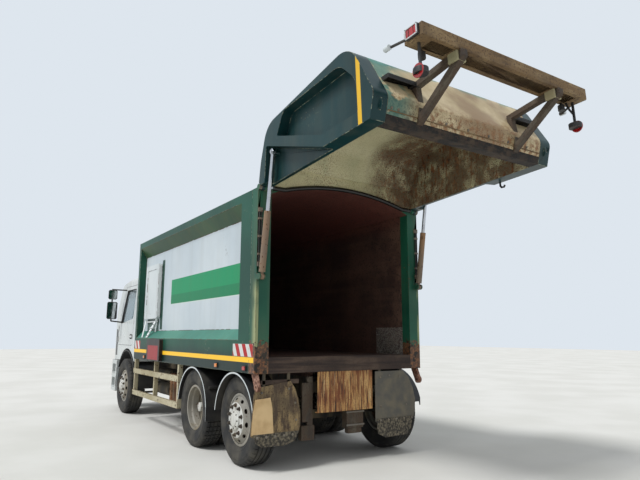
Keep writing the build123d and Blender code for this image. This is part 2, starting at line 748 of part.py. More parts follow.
def hinge_pockets():
    """Room in both pillars for the tailgate's hinge knuckles."""
    pocket = disc(0, HINGE_Z, HINGE_Y[1], HINGE_Y[2], HINGE_R + HINGE_ROOM)
    pocket -= disc(0, HINGE_Z, HINGE_Y[1] - 1, HINGE_Y[2] + 1, HINGE_PIN_R)
    return pocket + flipped(pocket)


def lift_lugs():
    """The two lugs and the pin that carry the foot of a lift cylinder."""
    x, z = LIFT_PIVOT
    inner = CYLINDER_Y - EYE_T / 2 - LUG_GAP
    outer = CYLINDER_Y + EYE_T / 2 + LUG_GAP
    lugs = disc(x, z, inner - LUG_T, outer + LUG_T, EYE_PIN_R)
    for y in ((inner - LUG_T, inner), (outer, outer + LUG_T)):
        lugs += disc(x, z, *y, EYE_R)
        lugs += block((x, 1.0), y, around(z, EYE_R))
    return lugs


def lock_claw():
    """The claw under a pillar, with the bored boss that the tailgate's lock takes hold of."""
    y = around(CLAW_Y, CLAW_T / 2)
    arm = polygon(
        (20.0, BODY_BOTTOM + 1),
        (PILLAR_L - 30, BODY_BOTTOM + 1),
        (CLAW_R, CLAW_Z),
        (-CLAW_R + 8, CLAW_Z),
    )
    claw = across(arm, *y) + disc(0.0, CLAW_Z, *y, CLAW_R)
    return claw - disc(0.0, CLAW_Z, y[0] - 1, y[1] + 1, CLAW_BORE_R)


def pillar_hoses():
    """Two oil hoses clipped to the pillar, from a gland under the hinge to the cylinder's foot."""
    x = -HOSE_OUT
    top, foot = HINGE_Z - HOSE_U[0], HINGE_Z - HOSE_U[1]
    hoses = joined(post(x, y, foot, top, HOSE_R) for y in HOSE_Y)
    spread = (HOSE_Y[0] - HOSE_R - 4, HOSE_Y[1] + HOSE_R + 4)
    for z in (top, foot):
        hoses += block((x - HOSE_R - 4, 1.0), spread, around(z, HOSE_CLIP_L))
    for u in HOSE_CLIP_U:
        hoses += block((x - HOSE_R - 3, 1.0), spread, around(HINGE_Z - u, HOSE_CLIP_L / 2))
    return hoses


def tailgate_side():
    """Left side of the tailgate: a plate with a raised rim, a brace and the hinge knuckle."""
    outline = gate_face(GATE_CORNERS)
    side = across(outline, GATE_INNER_W, RECESS_Y)
    rim_face = outline - gate_face(GATE_RECESS) - gate_face(CYLINDER_BAY)
    side += across(rim_face, RECESS_Y, HALF_W)
    knuckle_y = (HINGE_Y[1] + HINGE_SIDE_GAP, HINGE_Y[2] - HINGE_SIDE_GAP)
    for y in ((GATE_INNER_W - 1, knuckle_y[0]), (knuckle_y[1], HALF_W + 1)):
        side -= disc(0, HINGE_Z, *y, HINGE_R + HINGE_ROOM)
    side += disc(0, HINGE_Z, *knuckle_y, HINGE_R)
    side -= disc(0, HINGE_Z, GATE_INNER_W - 1, HALF_W + 1, HINGE_PIN_R + PIN_CLEARANCE)
    eye = gate_corner(LIFT_EYE_U, LIFT_EYE_W)
    side += disc(*eye, RECESS_Y - 1, CYLINDER_Y - EYE_T / 2 - LUG_GAP, EYE_R - 6)
    return raised(side + lock_lug())


def lock_lug():
    """The lug with a boss near the tailgate's foot that meets the lock claw."""
    u, w = GATE_FOOT_U - 12.0, 150.0
    face = rounded([(*gate_corner(u + a, w + b), radius) for a, b, radius in (
        (-60.0, -70.0, 0.0),
        (-60.0, 90.0, 0.0),
        (75.0, 60.0, 35.0),
        (75.0, -40.0, 35.0),
    )])
    place = gate_corner(u + 30, w + 10)
    return across(face, RECESS_Y + 20, RECESS_Y + 38) + disc(*place, RECESS_Y + 8, RECESS_Y + 52, 24.0)


def tailgate_skin():
    """The curved outer sheet between the two sides, open at the front."""
    outline = gate_face(GATE_CORNERS)
    shell = outline - offset(outline, amount=-GATE_SKIN)
    skin = across(shell, -GATE_INNER_W, GATE_INNER_W)
    wide = (-GATE_INNER_W - 1, GATE_INNER_W + 1)
    skin -= gate_block((-50.0, EDGE_BEAM_U[0]), (-50.0, EDGE_BEAM_W), wide)
    skin -= gate_block((-50.0, GATE_TOP_CUT[0]), (-50.0, GATE_TOP_CUT[1]), wide)
    skin -= gate_block((EDGE_BEAM_U[0] - 1, EDGE_BEAM_U[1] + 50), (-50.0, EDGE_BEAM_W), wide)
    return raised(skin)


def tailgate_edge_beam():
    """The beam along the tailgate's lower edge, with the struts that carry the lamp beam."""
    width = (-GATE_INNER_W, GATE_INNER_W)
    solid_gate = across(gate_face(GATE_CORNERS), *width)
    beam = solid_gate & gate_block(EDGE_BEAM_U, (-50.0, EDGE_BEAM_W), width)
    outer = polygon(*[gate_corner(u, w) for u, w in STRUT_CORNERS])
    inner = offset(outer, amount=-STRUT_BAR)
    strut = across(outer - inner, *around(STRUT_Y, STRUT_T / 2)) - solid_gate
    footstep = gate_block(FOOTSTEP_U, FOOTSTEP_W, (STRUT_Y, FOOTSTEP_Y))
    footstep -= gate_block((FOOTSTEP_U[0] + 6, FOOTSTEP_U[1] - 6), (FOOTSTEP_W[0] - 1, FOOTSTEP_W[1] - 8),
                           (STRUT_Y + STRUT_T, FOOTSTEP_Y - 6))
    side = strut + (footstep - solid_gate)
    return raised(beam + side + flipped(side))


def lamp_beam():
    """A folded channel that is open towards the struts, with closed ends and two shoes."""
    u, w = LAMP_BEAM_U, LAMP_BEAM_W
    t = LAMP_BEAM_T
    beam = gate_block(u, w, (-LAMP_BEAM_Y, LAMP_BEAM_Y))
    beam -= gate_block((u[0] + t, u[1] - t), (w[0] + t, w[1] - t), (t - LAMP_BEAM_Y, LAMP_BEAM_Y - t))
    opening_y = LAMP_BEAM_Y - 2 * ROUND_LAMP_IN
    beam -= gate_block((u[0] + 45, u[1] - 45), (w[0] - 1, w[0] + t + 1), (-opening_y, opening_y))
    shoe = gate_block((u[0] + 20, u[1] - 10), (w[0], w[0] + t + 2), around(STRUT_Y, STRUT_T))
    return raised(beam + shoe + flipped(shoe))


def tail_lamps():
    """Tail lamp, marker lamp on its rubber arm and round lamp on its bracket, each side."""
    y = LAMP_BEAM_Y
    u = LAMP_BEAM_U[0]
    w = LAMP_BEAM_W
    lamp = gate_block((u + 45, u + 190), (w[0] + 15, w[1] - 10), (y, y + LAMP_OUT))
    start = gate_corner(u + 60, w[0] + 30)
    end = gate_corner(u - 130, w[0] + 10)
    lamp += shaft((start[0], y + LAMP_OUT / 2, start[1]), (end[0], MARKER_Y, end[1]), 12.0)
    lamp += post(end[0], MARKER_Y, end[1] - 45, end[1] + 15, 24.0)
    round_y = y - ROUND_LAMP_IN
    x, z = gate_corner(u + 100, w[0] - 260)
    lamp += shaft((x + 25, round_y, z), (x - 25, round_y, z), ROUND_LAMP_R)
    back = gate_corner(u + 100, w[0])
    lamp += shaft((x - 20, round_y, z), (back[0], round_y, back[1]), 14.0)
    return raised(lamp + flipped(lamp))


def lift_direction():
    """Unit vector in X and Z from a lift cylinder's foot to its rod eye, tailgate raised."""
    eye_x, eye_z = raised_point(LIFT_EYE_U, LIFT_EYE_W)
    dx = eye_x - LIFT_PIVOT[0]
    dz = eye_z - LIFT_PIVOT[1]
    length = math.hypot(dx, dz)
    return dx / length, dz / length, length


def lift_point(distance):
    dx, dz, length = lift_direction()
    return (LIFT_PIVOT[0] + dx * distance, CYLINDER_Y, LIFT_PIVOT[1] + dz * distance)


def lift_barrel():
    """A cylinder's barrel, bored for piston and rod, with an eye at its foot and an oil port."""
    x, z = LIFT_PIVOT
    eye_y = around(CYLINDER_Y, EYE_T / 2)
    closed = EYE_R + 14
    barrel = disc(x, z, *eye_y, EYE_R) + shaft(lift_point(20), lift_point(closed + 10), EYE_NECK_R)
    barrel += shaft(lift_point(closed), lift_point(BARREL_L), BARREL_R)
    barrel -= shaft(lift_point(closed + 12), lift_point(BARREL_L - BARREL_END), BARREL_BORE)
    barrel -= shaft(lift_point(BARREL_L - BARREL_END - 1), lift_point(BARREL_L + 1), ROD_R + PIN_CLEARANCE)
    return barrel - disc(x, z, eye_y[0] - 1, eye_y[1] + 1, EYE_PIN_R + PIN_CLEARANCE)


def lift_rod():
    length = lift_direction()[2]
    x, y, z = lift_point(length)
    rod = disc(x, z, *around(y, EYE_T / 2), EYE_R)
    rod += shaft(lift_point(length - ROD_L), lift_point(length), ROD_R)
    rod += shaft(lift_point(length - ROD_L), lift_point(length - ROD_L + PISTON_T), BARREL_BORE - PISTON_GAP)
    return rod + disc(x, z, y, y + EYE_T / 2 + 12, EYE_PIN_R + 5)


def cab_solid(inset):
    """The cab's closed outer form, each face set in by one amount."""
    back = CAB_BACK_X + inset
    front = CAB_FRONT_X - inset
    roof = CAB_TOP + CAB_ROOF_CROWN - inset
    side_view = rounded((
        (back, CAB_SILL, 0.0),
        (front, CAB_SILL, 0.0),
        (front, CAB_NOSE_Z, 260.0),
        (front - CAB_RAKE, CAB_TOP - CAB_BROW_DROP - inset, 190.0),
        (front - CAB_ROOF_FRONT, roof, 400.0),
        (back, roof, 60.0),
    ))
    half = CAB_HALF_W - inset
    plan_view = rounded((
        (back, -half, 60.0),
        (front, -half, 230.0),
        (front, half, 230.0),
        (back, half, 60.0),
    ))
    waist = half + CAB_WAIST_OUT
    eave = half - CAB_LEAN
    front_view = rounded((
        (-waist, CAB_SILL - 60, 0.0),
        (waist, CAB_SILL - 60, 0.0),
        (waist, CAB_WAIST_Z, 0.0),
        (eave, CAB_TOP - inset, 90.0),
        (-eave, CAB_TOP - inset, 90.0),
        (-waist, CAB_WAIST_Z, 0.0),
    ))
    form = upward(plan_view, CAB_SILL - 50, CAB_TOP + 50)
    form &= across(side_view, -CAB_HALF_W - 50, CAB_HALF_W + 50)
    return form & lengthwise(front_view, CAB_BACK_X - 50, CAB_FRONT_X + 50)


def cab_wall():
    """The cab's hollow wall with its floor, before doors and windows are cut."""
    inner = cab_solid(CAB_WALL)
    x = (CAB_BACK_X, CAB_FRONT_X)
    y = (-CAB_HALF_W, CAB_HALF_W)
    room = inner & block(x, y, (CAB_FLOOR + CAB_FLOOR_T, CAB_TOP))
    underneath = inner & block(x, y, (CAB_SILL - 1, CAB_FLOOR))
    wall = cab_solid(0.0) - room - underneath
    wall -= block((x[0] - 1, CAB_FRONT_X - 580), around(0.0, RAIL_Y + 30), (CAB_SILL - 1, CAB_FLOOR))
    wall -= disc(FRONT_AXLE_X, TYRE_R, y[0] - 1, y[1] + 1, ARCH_R)
    for mount_x in CAB_MOUNT_X:
        foot = block(around(mount_x, CAB_MOUNT_L / 2), (RAIL_Y - RAIL_FLANGE, RAIL_Y), (RAIL_TOP, CAB_FLOOR + 1))
        wall += foot + flipped(foot)
    return wall


def through_left_wall(outline):
    """A prism through the cab's left wall."""
    return across(outline, CAB_HALF_W - 260, CAB_HALF_W + 20)


def door_opening(gap):
    """The prism over the door's outline, grown by a gap."""
    outline = rounded(DOOR_CORNERS)
    return through_left_wall(offset(outline, amount=gap) if gap else outline)


def window_opening(inset):
    outline = rounded(DOOR_WINDOW)
    return through_left_wall(offset(outline, amount=-inset) if inset else outline)


def windscreen_opening(inset):
    low = WINDSCREEN_Z[0] + inset
    high = WINDSCREEN_Z[1] - inset
    half = WINDSCREEN_Y - inset
    face = rounded(((-half, low, 80.0), (half, low, 80.0), (half - 50, high, 90.0), (-half + 50, high, 90.0)))
    return lengthwise(face, CAB_FRONT_X - 520, CAB_FRONT_X + 20)


def cab_shell():
    """The wall less its doors and windscreen, with the hinge pins in their pockets."""
    opening = door_opening(DOOR_GAP)
    for z in DOOR_HINGE_Z:
        pocket_z = around(z, DOOR_KNUCKLE_H / 2 + 3)
        opening += post(DOOR_AXIS_X, CAB_HALF_W, *pocket_z, DOOR_KNUCKLE_R + 5)
    pins = door_hinge_pins()
    shell = cab_wall() - opening - flipped(opening) - windscreen_opening(0.0)
    return shell + pins + flipped(pins)


def cab_door():
    """Left door: the piece of the cab's wall inside the door's outline, with its window cut."""
    door = (cab_wall() & door_opening(0.0)) - window_opening(0.0)
    grip_z = (HANDLE_Z[0] - 25, HANDLE_Z[1] + 25)
    pocket = rounded_box((HANDLE_X[0] - 15, HANDLE_X[1] + 15), grip_z, 30.0)
    door -= across(pocket, CAB_HALF_W - 30, CAB_HALF_W + 5)
    door += block(HANDLE_X, (CAB_HALF_W - 8, CAB_HALF_W + 14), HANDLE_Z)
    for x in HANDLE_X:
        door += block(around(x, 16.0), (CAB_HALF_W - 31, CAB_HALF_W + 14), HANDLE_Z)
    for z in DOOR_HINGE_Z:
        height = around(z, DOOR_KNUCKLE_H / 2)
        door += post(DOOR_AXIS_X, CAB_HALF_W, *height, DOOR_KNUCKLE_R)
        door += block((DOOR_AXIS_X - 40, DOOR_AXIS_X), around(CAB_HALF_W, 6.0), height)
        door -= post(DOOR_AXIS_X, CAB_HALF_W, height[0] - 1, height[1] + 1, DOOR_PIN_R + PIN_CLEARANCE)
    return door


def door_hinge_pins():
    """The cab's half of the left door's hinges: a pin between two ears for each."""
    pins = None
    for z in DOOR_HINGE_Z:
        ear = DOOR_KNUCKLE_H / 2 + 3
        piece = post(DOOR_AXIS_X, CAB_HALF_W, *around(z, ear + DOOR_EAR_H), DOOR_PIN_R)
        for low in (z - ear - DOOR_EAR_H, z + ear):
            piece += post(DOOR_AXIS_X, CAB_HALF_W, low, low + DOOR_EAR_H, DOOR_KNUCKLE_R)
        pins = piece if pins is None else pins + piece
    return pins


def glass_layer():
    """A thin layer in the middle of the cab's wall, from which panes are cut."""
    middle = CAB_WALL / 2
    return cab_solid(middle) - cab_solid(middle + GLASS_T)


def door_glass():
    return glass_layer() & window_opening(GLASS_FIT)


def windscreen():
    return glass_layer() & windscreen_opening(GLASS_FIT)


def cab_grille():
    """Slatted grille on the cab's front under the windscreen."""
    y = (-CAB_HALF_W + 530, CAB_HALF_W - 530)
    z = (CAB_SILL + 40, CAB_NOSE_Z - 120)
    x = (CAB_FRONT_X, CAB_FRONT_X + 30)
    grille = lengthwise(rounded_box(y, z, 40.0), *x)
    slats = 6
    pitch = (z[1] - z[0] - 40) / slats
    for step in range(slats):
        low = z[0] + 30 + step * pitch
        grille -= block((x[1] - 14, x[1] + 1), (y[0] + 40, y[1] - 40), (low, low + pitch * 0.7))
    return grille


def bumper_solid(inset):
    """The bumper's closed outer form, its front and sides set in by one amount."""
    half = CAB_HALF_W + 20 - inset
    front = BUMPER_FRONT_X - inset
    plan = rounded((
        (BUMPER_REAR_X, -half, 0.0),
        (front, -half, BUMPER_CORNER_R),
        (front, half, BUMPER_CORNER_R),
        (BUMPER_REAR_X, half, 0.0),
    ))
    return upward(plan, BUMPER_BOTTOM, CAB_SILL - DOOR_GAP)


def headlamp_opening(inset):
    """The space of the left headlamp through the bumper's front and corner."""
    x = (BUMPER_FRONT_X - 200, BUMPER_FRONT_X + 10)
    y = (HEADLAMP_Y[0] + inset, HEADLAMP_Y[1] - inset)
    return block(x, y, (HEADLAMP_Z[0] + inset, HEADLAMP_Z[1] - inset))


def cab_steps():
    """Two step wells behind the bumper's left side, each a window with a tread and a back."""
    side = CAB_HALF_W + 20
    wells = None
    for low in STEP_Z:
        well = block(STEP_X, (side - STEP_D, side - BUMPER_T / 2), (low - 20, low))
        well += block(STEP_X, (side - STEP_D, side - STEP_D + 20), (low - 20, low + STEP_H))
        wells = well if wells is None else wells + well
    return wells


def front_bumper():
    """Bumper with wrapped corners and steps, open at its back, on two brackets from the frame."""
    bumper = bumper_solid(0.0) - bumper_solid(BUMPER_T)
    bumper -= disc(FRONT_AXLE_X, TYRE_R, -HALF_W - 50, HALF_W + 50, ARCH_R)
    opening = headlamp_opening(0.0)
    for low in STEP_Z:
        face = rounded_box(STEP_X, (low, low + STEP_H), 35.0)
        opening += across(face, CAB_HALF_W + 20 - BUMPER_T - 1, CAB_HALF_W + 21)
    bracket = block((FRAME_FRONT_X, BUMPER_FRONT_X - BUMPER_T + 1), (RAIL_Y - 100, RAIL_Y), (800.0, 960.0))
    side = cab_steps() + bracket
    return bumper - opening - flipped(opening) + side + flipped(side)


def headlamps():
    """A lens that follows the bumper's corner, each side."""
    lens = (bumper_solid(4.0) - bumper_solid(BUMPER_T - 10)) & headlamp_opening(GLASS_FIT)
    return lens + flipped(lens)


def mirrors():
    """The left door's main and wide-angle mirror on a stalk between two arms."""
    stalk_y = CAB_HALF_W + MIRROR_OUT
    side = post(STALK_X, stalk_y, *MIRROR_STALK_Z, MIRROR_ARM_R)
    for x, z, thickness, width, height in MIRRORS:
        face = rounded_box(around(stalk_y, width / 2), around(z, height / 2), 40.0)
        side += lengthwise(face, x - thickness / 2, x + thickness / 2, taper=MIRROR_TAPER)
    for (foot_x, drop), z in zip(MIRROR_FEET, MIRROR_STALK_Z):
        side += shaft((STALK_X, stalk_y, z), (foot_x, CAB_HALF_W - 100, z - drop), MIRROR_ARM_R)
        side += post(STALK_X, stalk_y, z - MIRROR_ARM_R, z + MIRROR_ARM_R, MIRROR_ARM_R)
    return side - cab_solid(0.0)


def seat(y):
    """A suspended seat: pedestal, cushion, reclined back and headrest."""
    floor = CAB_FLOOR + CAB_FLOOR_T
    top = floor + SEAT_H
    wide = around(y, SEAT_W / 2)
    piece = block((SEAT_X + 120, SEAT_X + 420), around(y, SEAT_W / 3), (floor, top - 120))
    cushion = rounded((
        (SEAT_X + 60, top - 130, 40.0),
        (SEAT_X + 40 + SEAT_L, top - 130, 40.0),
        (SEAT_X + 40 + SEAT_L, top + 20, 60.0),
        (SEAT_X + 60, top - 10, 40.0),
    ))
    back = rounded((
        (SEAT_X + 30, top - 80, 40.0),
        (SEAT_X + 160, top - 80, 40.0),
        (SEAT_X + 60, top + SEAT_BACK_H, 50.0),
        (SEAT_X - 50, top + SEAT_BACK_H, 50.0),
    ))
    return piece + across(cushion, *wide) + across(back, *wide)


def cab_interior():
    """Two seats, the dashboard and the steering wheel on its column."""
    floor = CAB_FLOOR + CAB_FLOOR_T
    hood = rounded((
        (DASH_X[0] + 60, floor, 0.0),
        (DASH_X[1], floor, 0.0),
        (DASH_X[1], DASH_Z, 60.0),
        (DASH_X[0], DASH_Z - 20, 60.0),
        (DASH_X[0], DASH_Z - 190, 60.0),
    ))
    inside = across(hood, -DASH_HALF_W, DASH_HALF_W)
    for y in (-SEAT_Y, SEAT_Y):
        inside += seat(y)
    tilt = math.radians(STEERING_TILT)
    axis = (-math.cos(tilt), math.sin(tilt))

    def column_point(distance):
        return (STEERING_X + axis[0] * distance, -SEAT_Y, STEERING_Z + axis[1] * distance)

    wheel = shaft(column_point(-14), column_point(14), STEERING_R)
    wheel -= shaft(column_point(-15), column_point(15), STEERING_R - 28)
    spoke = Pos(*column_point(0)) * Rot(0, STEERING_TILT - 90, 0) * Box(40, 2 * STEERING_R - 20, 16)
    column = shaft(column_point(-260), column_point(12), 30.0)
    return inside + wheel + spoke + column


def side_guards():
    """Under-run guards between the axles: two channel rails on posts, each side."""
    y = (HALF_W - SIDE_GUARD_T, HALF_W)
    side = None
    for z in SIDE_GUARD_Z:
        rail = block(SIDE_GUARD_X, y, (z, z + SIDE_GUARD_H))
        rail -= block(
            (SIDE_GUARD_X[0] - 1, SIDE_GUARD_X[1] + 1),
            (y[0] - 1, y[1] - SIDE_GUARD_WALL),
            (z + SIDE_GUARD_WALL, z + SIDE_GUARD_H - SIDE_GUARD_WALL),
        )
        side = rail if side is None else side + rail
    for x in SIDE_GUARD_POST_X:
        reach = around(x, SIDE_GUARD_POST_W / 2)
        side += block(reach, (y[0] - 40, y[1] - SIDE_GUARD_WALL + 1), (SIDE_GUARD_Z[0], BODY_BOTTOM))
    return side + flipped(side)


def mudguards():
    """Arched guards with a turned-in lip, on round arms from the rails, each side."""
    side = None
    arm_z = TYRE_R + GUARD_ARM_H
    for x, radius, inner, outer, low_behind, low_in_front in MUDGUARDS:
        guard = disc(x, TYRE_R, inner, outer, radius + GUARD_T)
        guard -= disc(x, TYRE_R, inner - 1, outer - GUARD_LIP_W, radius)
        guard -= disc(x, TYRE_R, outer - GUARD_LIP_W - 1, outer + 1, radius - GUARD_LIP)
        wide = (inner - 1, outer + 1)
        guard -= block((x - radius - 50, x), wide, (TYRE_R - radius - 50, low_behind))
        guard -= block((x - 1, x + radius + 50), wide, (TYRE_R - radius - 50, low_in_front))
        arm_circle = radius + GUARD_T + GUARD_ARM_R - 1
        arm_reach = math.sqrt(arm_circle ** 2 - GUARD_ARM_H ** 2)
        for way in ((1,) if x == TAG_AXLE_X else (-1, 1)):
            guard += disc(x + way * arm_reach, arm_z, RAIL_Y, outer - 60, GUARD_ARM_R)
        side = guard if side is None else side + guard
    hem_x = DRIVE_AXLE_X - math.sqrt((GUARD_R + GUARD_T) ** 2 - (GUARD_LOW_Z - TYRE_R) ** 2)
    side += block((hem_x + 1, hem_x + 9), (HALF_W - STRIP_FLAP_W, HALF_W), (STRIP_FLAP_Z, GUARD_LOW_Z + 8))
    side -= block((-GUARD_R, FLAP_X[1] + 6), (0.0, HALF_W + 1), (0.0, BODY_BOTTOM))
    return side + flipped(side)


def mud_flaps():
    """Flaps behind the tag wheels, hung from a bar that an arm carries beside each rail."""
    top = RAIL_TOP + 30
    panel = rounded((
        # y, z, corner radius
        (640.0, 430.0, 25.0),
        (HALF_W, 405.0, 40.0),
        (HALF_W, 700.0, 220.0),
        (HALF_W - 70, 850.0, 60.0),
        (HALF_W - 90, top, 0.0),
        (700.0, top, 0.0),
    ))
    hem = rounded((
        (680.0, 440.0, 0.0),
        (700.0, 285.0, 20.0),
        (HALF_W - 30, 232.0, 25.0),
        (HALF_W - 10, 440.0, 0.0),
    ))
    side = lengthwise(panel, *FLAP_X) + lengthwise(hem, FLAP_X[0] + 3, FLAP_X[1] - 3)
    side += block((FLAP_X[1], FLAP_X[1] + 30), (RAIL_Y, HALF_W - 80), (RAIL_TOP, RAIL_TOP + FLAP_BAR_H))
    side += block((FLAP_X[1], FRAME_REAR_X + 120), (RAIL_Y, RAIL_Y + 30), (RAIL_TOP - 20, RAIL_TOP + FLAP_BAR_H))
    return side + flipped(side)


def rear_plate():
    """The plate under the rear sill, folded back along its foot."""
    y = (4 - RAIL_Y, RAIL_Y - 30)
    plate = block(PLATE_X, y, (PLATE_Z, BODY_BOTTOM))
    return plate + block((PLATE_X[0], PLATE_X[1] + 50), y, (PLATE_Z, PLATE_Z + 8))


def tanks():
    """Ribbed oil tank and air bottles on the left, fuel tank on the right, carried on the rails."""
    oil = block(TANK_X, (RAIL_Y, TANK_OUT), TANK_Z)
    pitch = (TANK_X[1] - TANK_X[0]) / TANK_RIBS
    for step in range(TANK_RIBS):
        oil += post(TANK_X[0] + (step + 0.5) * pitch, TANK_OUT, *TANK_Z, TANK_RIB_R)
    fuel_y = (-TANK_OUT, -RAIL_Y)
    fuel_face = rounded_box(fuel_y, TANK_Z, 90.0)
    fuel = lengthwise(fuel_face, *FUEL_TANK_X)
    saddle_x = (FUEL_TANK_X[0] + 100, FUEL_TANK_X[1] - 100)
    fuel += block(saddle_x, (fuel_y[1] - 100, fuel_y[1]), (TANK_Z[1] - 300, TANK_Z[1] - 30))
    strap_y = (fuel_y[0] - FUEL_STRAP_T, fuel_y[1] - 30)
    strap_z = (TANK_Z[0] - FUEL_STRAP_T, TANK_Z[1] + FUEL_STRAP_T)
    strap = rounded_box(strap_y, strap_z, 90.0 + FUEL_STRAP_T)
    for x in (FUEL_TANK_X[0] + 200, FUEL_TANK_X[1] - 200):
        fuel += lengthwise(strap, *around(x, 30.0))
    bottles = None
    for z in (TANK_Z[0] + 90, TANK_Z[0] + 330):
        bottle = shaft((AIR_BOTTLE_X[0], AIR_BOTTLE_Y, z), (AIR_BOTTLE_X[1], AIR_BOTTLE_Y, z), AIR_BOTTLE_R)
        bottles = bottle if bottles is None else bottles + bottle
    for x in (AIR_BOTTLE_X[0] + 100, AIR_BOTTLE_X[1] - 100):
        bottles += block(around(x, 20.0), (RAIL_Y, AIR_BOTTLE_Y + 10), (TANK_Z[0] + 170, TANK_Z[0] + 360))
    return oil + fuel + bottles


def equipment_box():
    """A small locker on the skirt with a rounded lid."""
    z = (BODY_BOTTOM + 14, SKIRT_TOP - 10)
    return across(rounded_box(RED_BOX_X, z, 25.0), HALF_W, HALF_W + RED_BOX_OUT)


def access_hatch():
    """The proud cover near the front of the left panel, with its hinge knuckles."""
    back = RECESS_Y + PANEL_GAP
    face = rounded_box(HATCH_X, HATCH_Z, HATCH_CORNER_R)
    hatch = across(face, back, back + HATCH_T)
    pressed = rounded_box((HATCH_X[0] + 90, HATCH_X[1] - 90), (HATCH_Z[0] + 90, HATCH_Z[1] - 90), 40.0)
    hatch -= across(pressed, back + HATCH_T - 8, back + HATCH_T + 1)
    for z in HATCH_HINGE_Z:
        height = around(z, 50.0)
        hatch += post(HATCH_AXIS_X, HATCH_AXIS_Y, *height, HATCH_KNUCKLE_R)
        hatch += block((HATCH_X[1] - 1, HATCH_AXIS_X), (HATCH_AXIS_Y - 15, HATCH_AXIS_Y + 10), height)
        hatch -= post(HATCH_AXIS_X, HATCH_AXIS_Y, height[0] - 1, height[1] + 1, HATCH_PIN_R + PIN_CLEARANCE)
    return hatch


def hatch_hinge_pins():
    """Pins on lugs that stand out of the left panel and carry the hatch."""
    pins = None
    for z in HATCH_HINGE_Z:
        pin = post(HATCH_AXIS_X, HATCH_AXIS_Y, z - 72, z + 72, HATCH_PIN_R)
        for low in (z - 72, z + 52):
            pin += block(around(HATCH_AXIS_X, 10.0), (RECESS_Y - 1, HATCH_AXIS_Y + 10), (low, low + 20))
        pins = pin if pins is None else pins + pin
    return pins


def hatch_ladder():
    """The short ladder that stands on the ledge below the hatch, leaning on the panel."""
    foot_z = LEDGE_TOP - 20
    top_z = HATCH_Z[0] - 30
    foot_y = RECESS_Y + 32
    top_y = RECESS_Y + 10

    def place(x, z):
        share = (z - foot_z) / (top_z - foot_z)
        return (x, foot_y + (top_y - foot_y) * share, z)

    ladder = joined(shaft(place(x, foot_z), place(x, top_z), LADDER_BAR_R) for x in LADDER_X)
    for z in (LEDGE_TOP + 50, LEDGE_TOP + 140):
        ladder += shaft(place(LADDER_X[0], z), place(LADDER_X[1], z), LADDER_BAR_R)
    return ladder


REAR_X = min(raised_point(u, w)[0] for u, w in STRUT_CORNERS)
ORIGIN_X = (REAR_X + BUMPER_FRONT_X) / 2


def model():
    """Every piece by its name, in the modelling frame."""
    pieces = {
        "chassis_frame": chassis_frame(),
        "engine_block": engine_block(),
        "front_axle": front_axle(),
        "drive_axle": drive_axle(),
        "tag_axle": tag_axle(),
        "tie_rod": tie_rod(),
        "body_floor": body_floor(),
        "body_roof": body_roof(),
        "body_front_wall": body_front_wall(),
        "rear_frame": rear_frame(),
        "tailgate_skin": tailgate_skin(),
        "tailgate_edge_beam": tailgate_edge_beam(),
        "lamp_beam": lamp_beam(),
        "tail_lamps": tail_lamps(),
        "cab_shell": cab_shell(),
        "windscreen": windscreen(),
        "cab_grille": cab_grille(),
        "front_bumper": front_bumper(),
        "headlamps": headlamps(),
        "cab_interior": cab_interior(),
        "side_guards": side_guards(),
        "mudguards": mudguards(),
        "mud_flaps": mud_flaps(),
        "rear_plate": rear_plate(),
        "tanks": tanks(),
        "equipment_box": equipment_box(),
        "access_hatch": access_hatch(),
    }
    left = {
        "body_side": body_side(),
        "tailgate_side": tailgate_side(),
        "lift_barrel": lift_barrel(),
        "lift_rod": lift_rod(),
        "knuckle": knuckle(),
        "cab_door": cab_door(),
        "door_glass": door_glass(),
        "mirrors": mirrors(),
        "front_tyre": tyre(FRONT_AXLE_X, SINGLE_WHEEL_Y),
        "front_rim": single_wheel(FRONT_AXLE_X),
        "drive_tyres": tyre(DRIVE_AXLE_X, TWIN_OUTER_Y) + tyre(DRIVE_AXLE_X, TWIN_OUTER_Y - 2 * TWIN_OFFSET),
        "drive_rims": twin_wheels(),
        "tag_tyre": tyre(TAG_AXLE_X, SINGLE_WHEEL_Y),
        "tag_rim": single_wheel(TAG_AXLE_X),
    }
    for name, piece in left.items():
        pieces[name + "_left"] = piece
        pieces[name + "_right"] = flipped(piece)
    pieces["body_side_left"] += hatch_hinge_pins() + hatch_ladder()
    return pieces


os.makedirs("parts", exist_ok=True)
for node, solid in model().items():
    export_step(Pos(-ORIGIN_X, 0, 0) * solid, "parts/" + node + ".step")
print("origin shift", round(ORIGIN_X, 2), "rear", round(REAR_X, 2))
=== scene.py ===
# %% [markdown]
# # A refuse collection truck that stands with its tailgate raised
# The truck comes from CAD as a fixed frame: named pieces at their real size and place, each
# on the body that it moves with. Blender doesn't move or resize any of them. This script gives
# every piece its finish, and adds what CAD leaves plain, such as tread, nuts, hoses and seals.
# The first cell loads that frame and keeps its pieces, whose boxes part_box measures.

# %% Load the truck
import json
import math
import bpy
import bmesh
from mathutils import Matrix, Vector

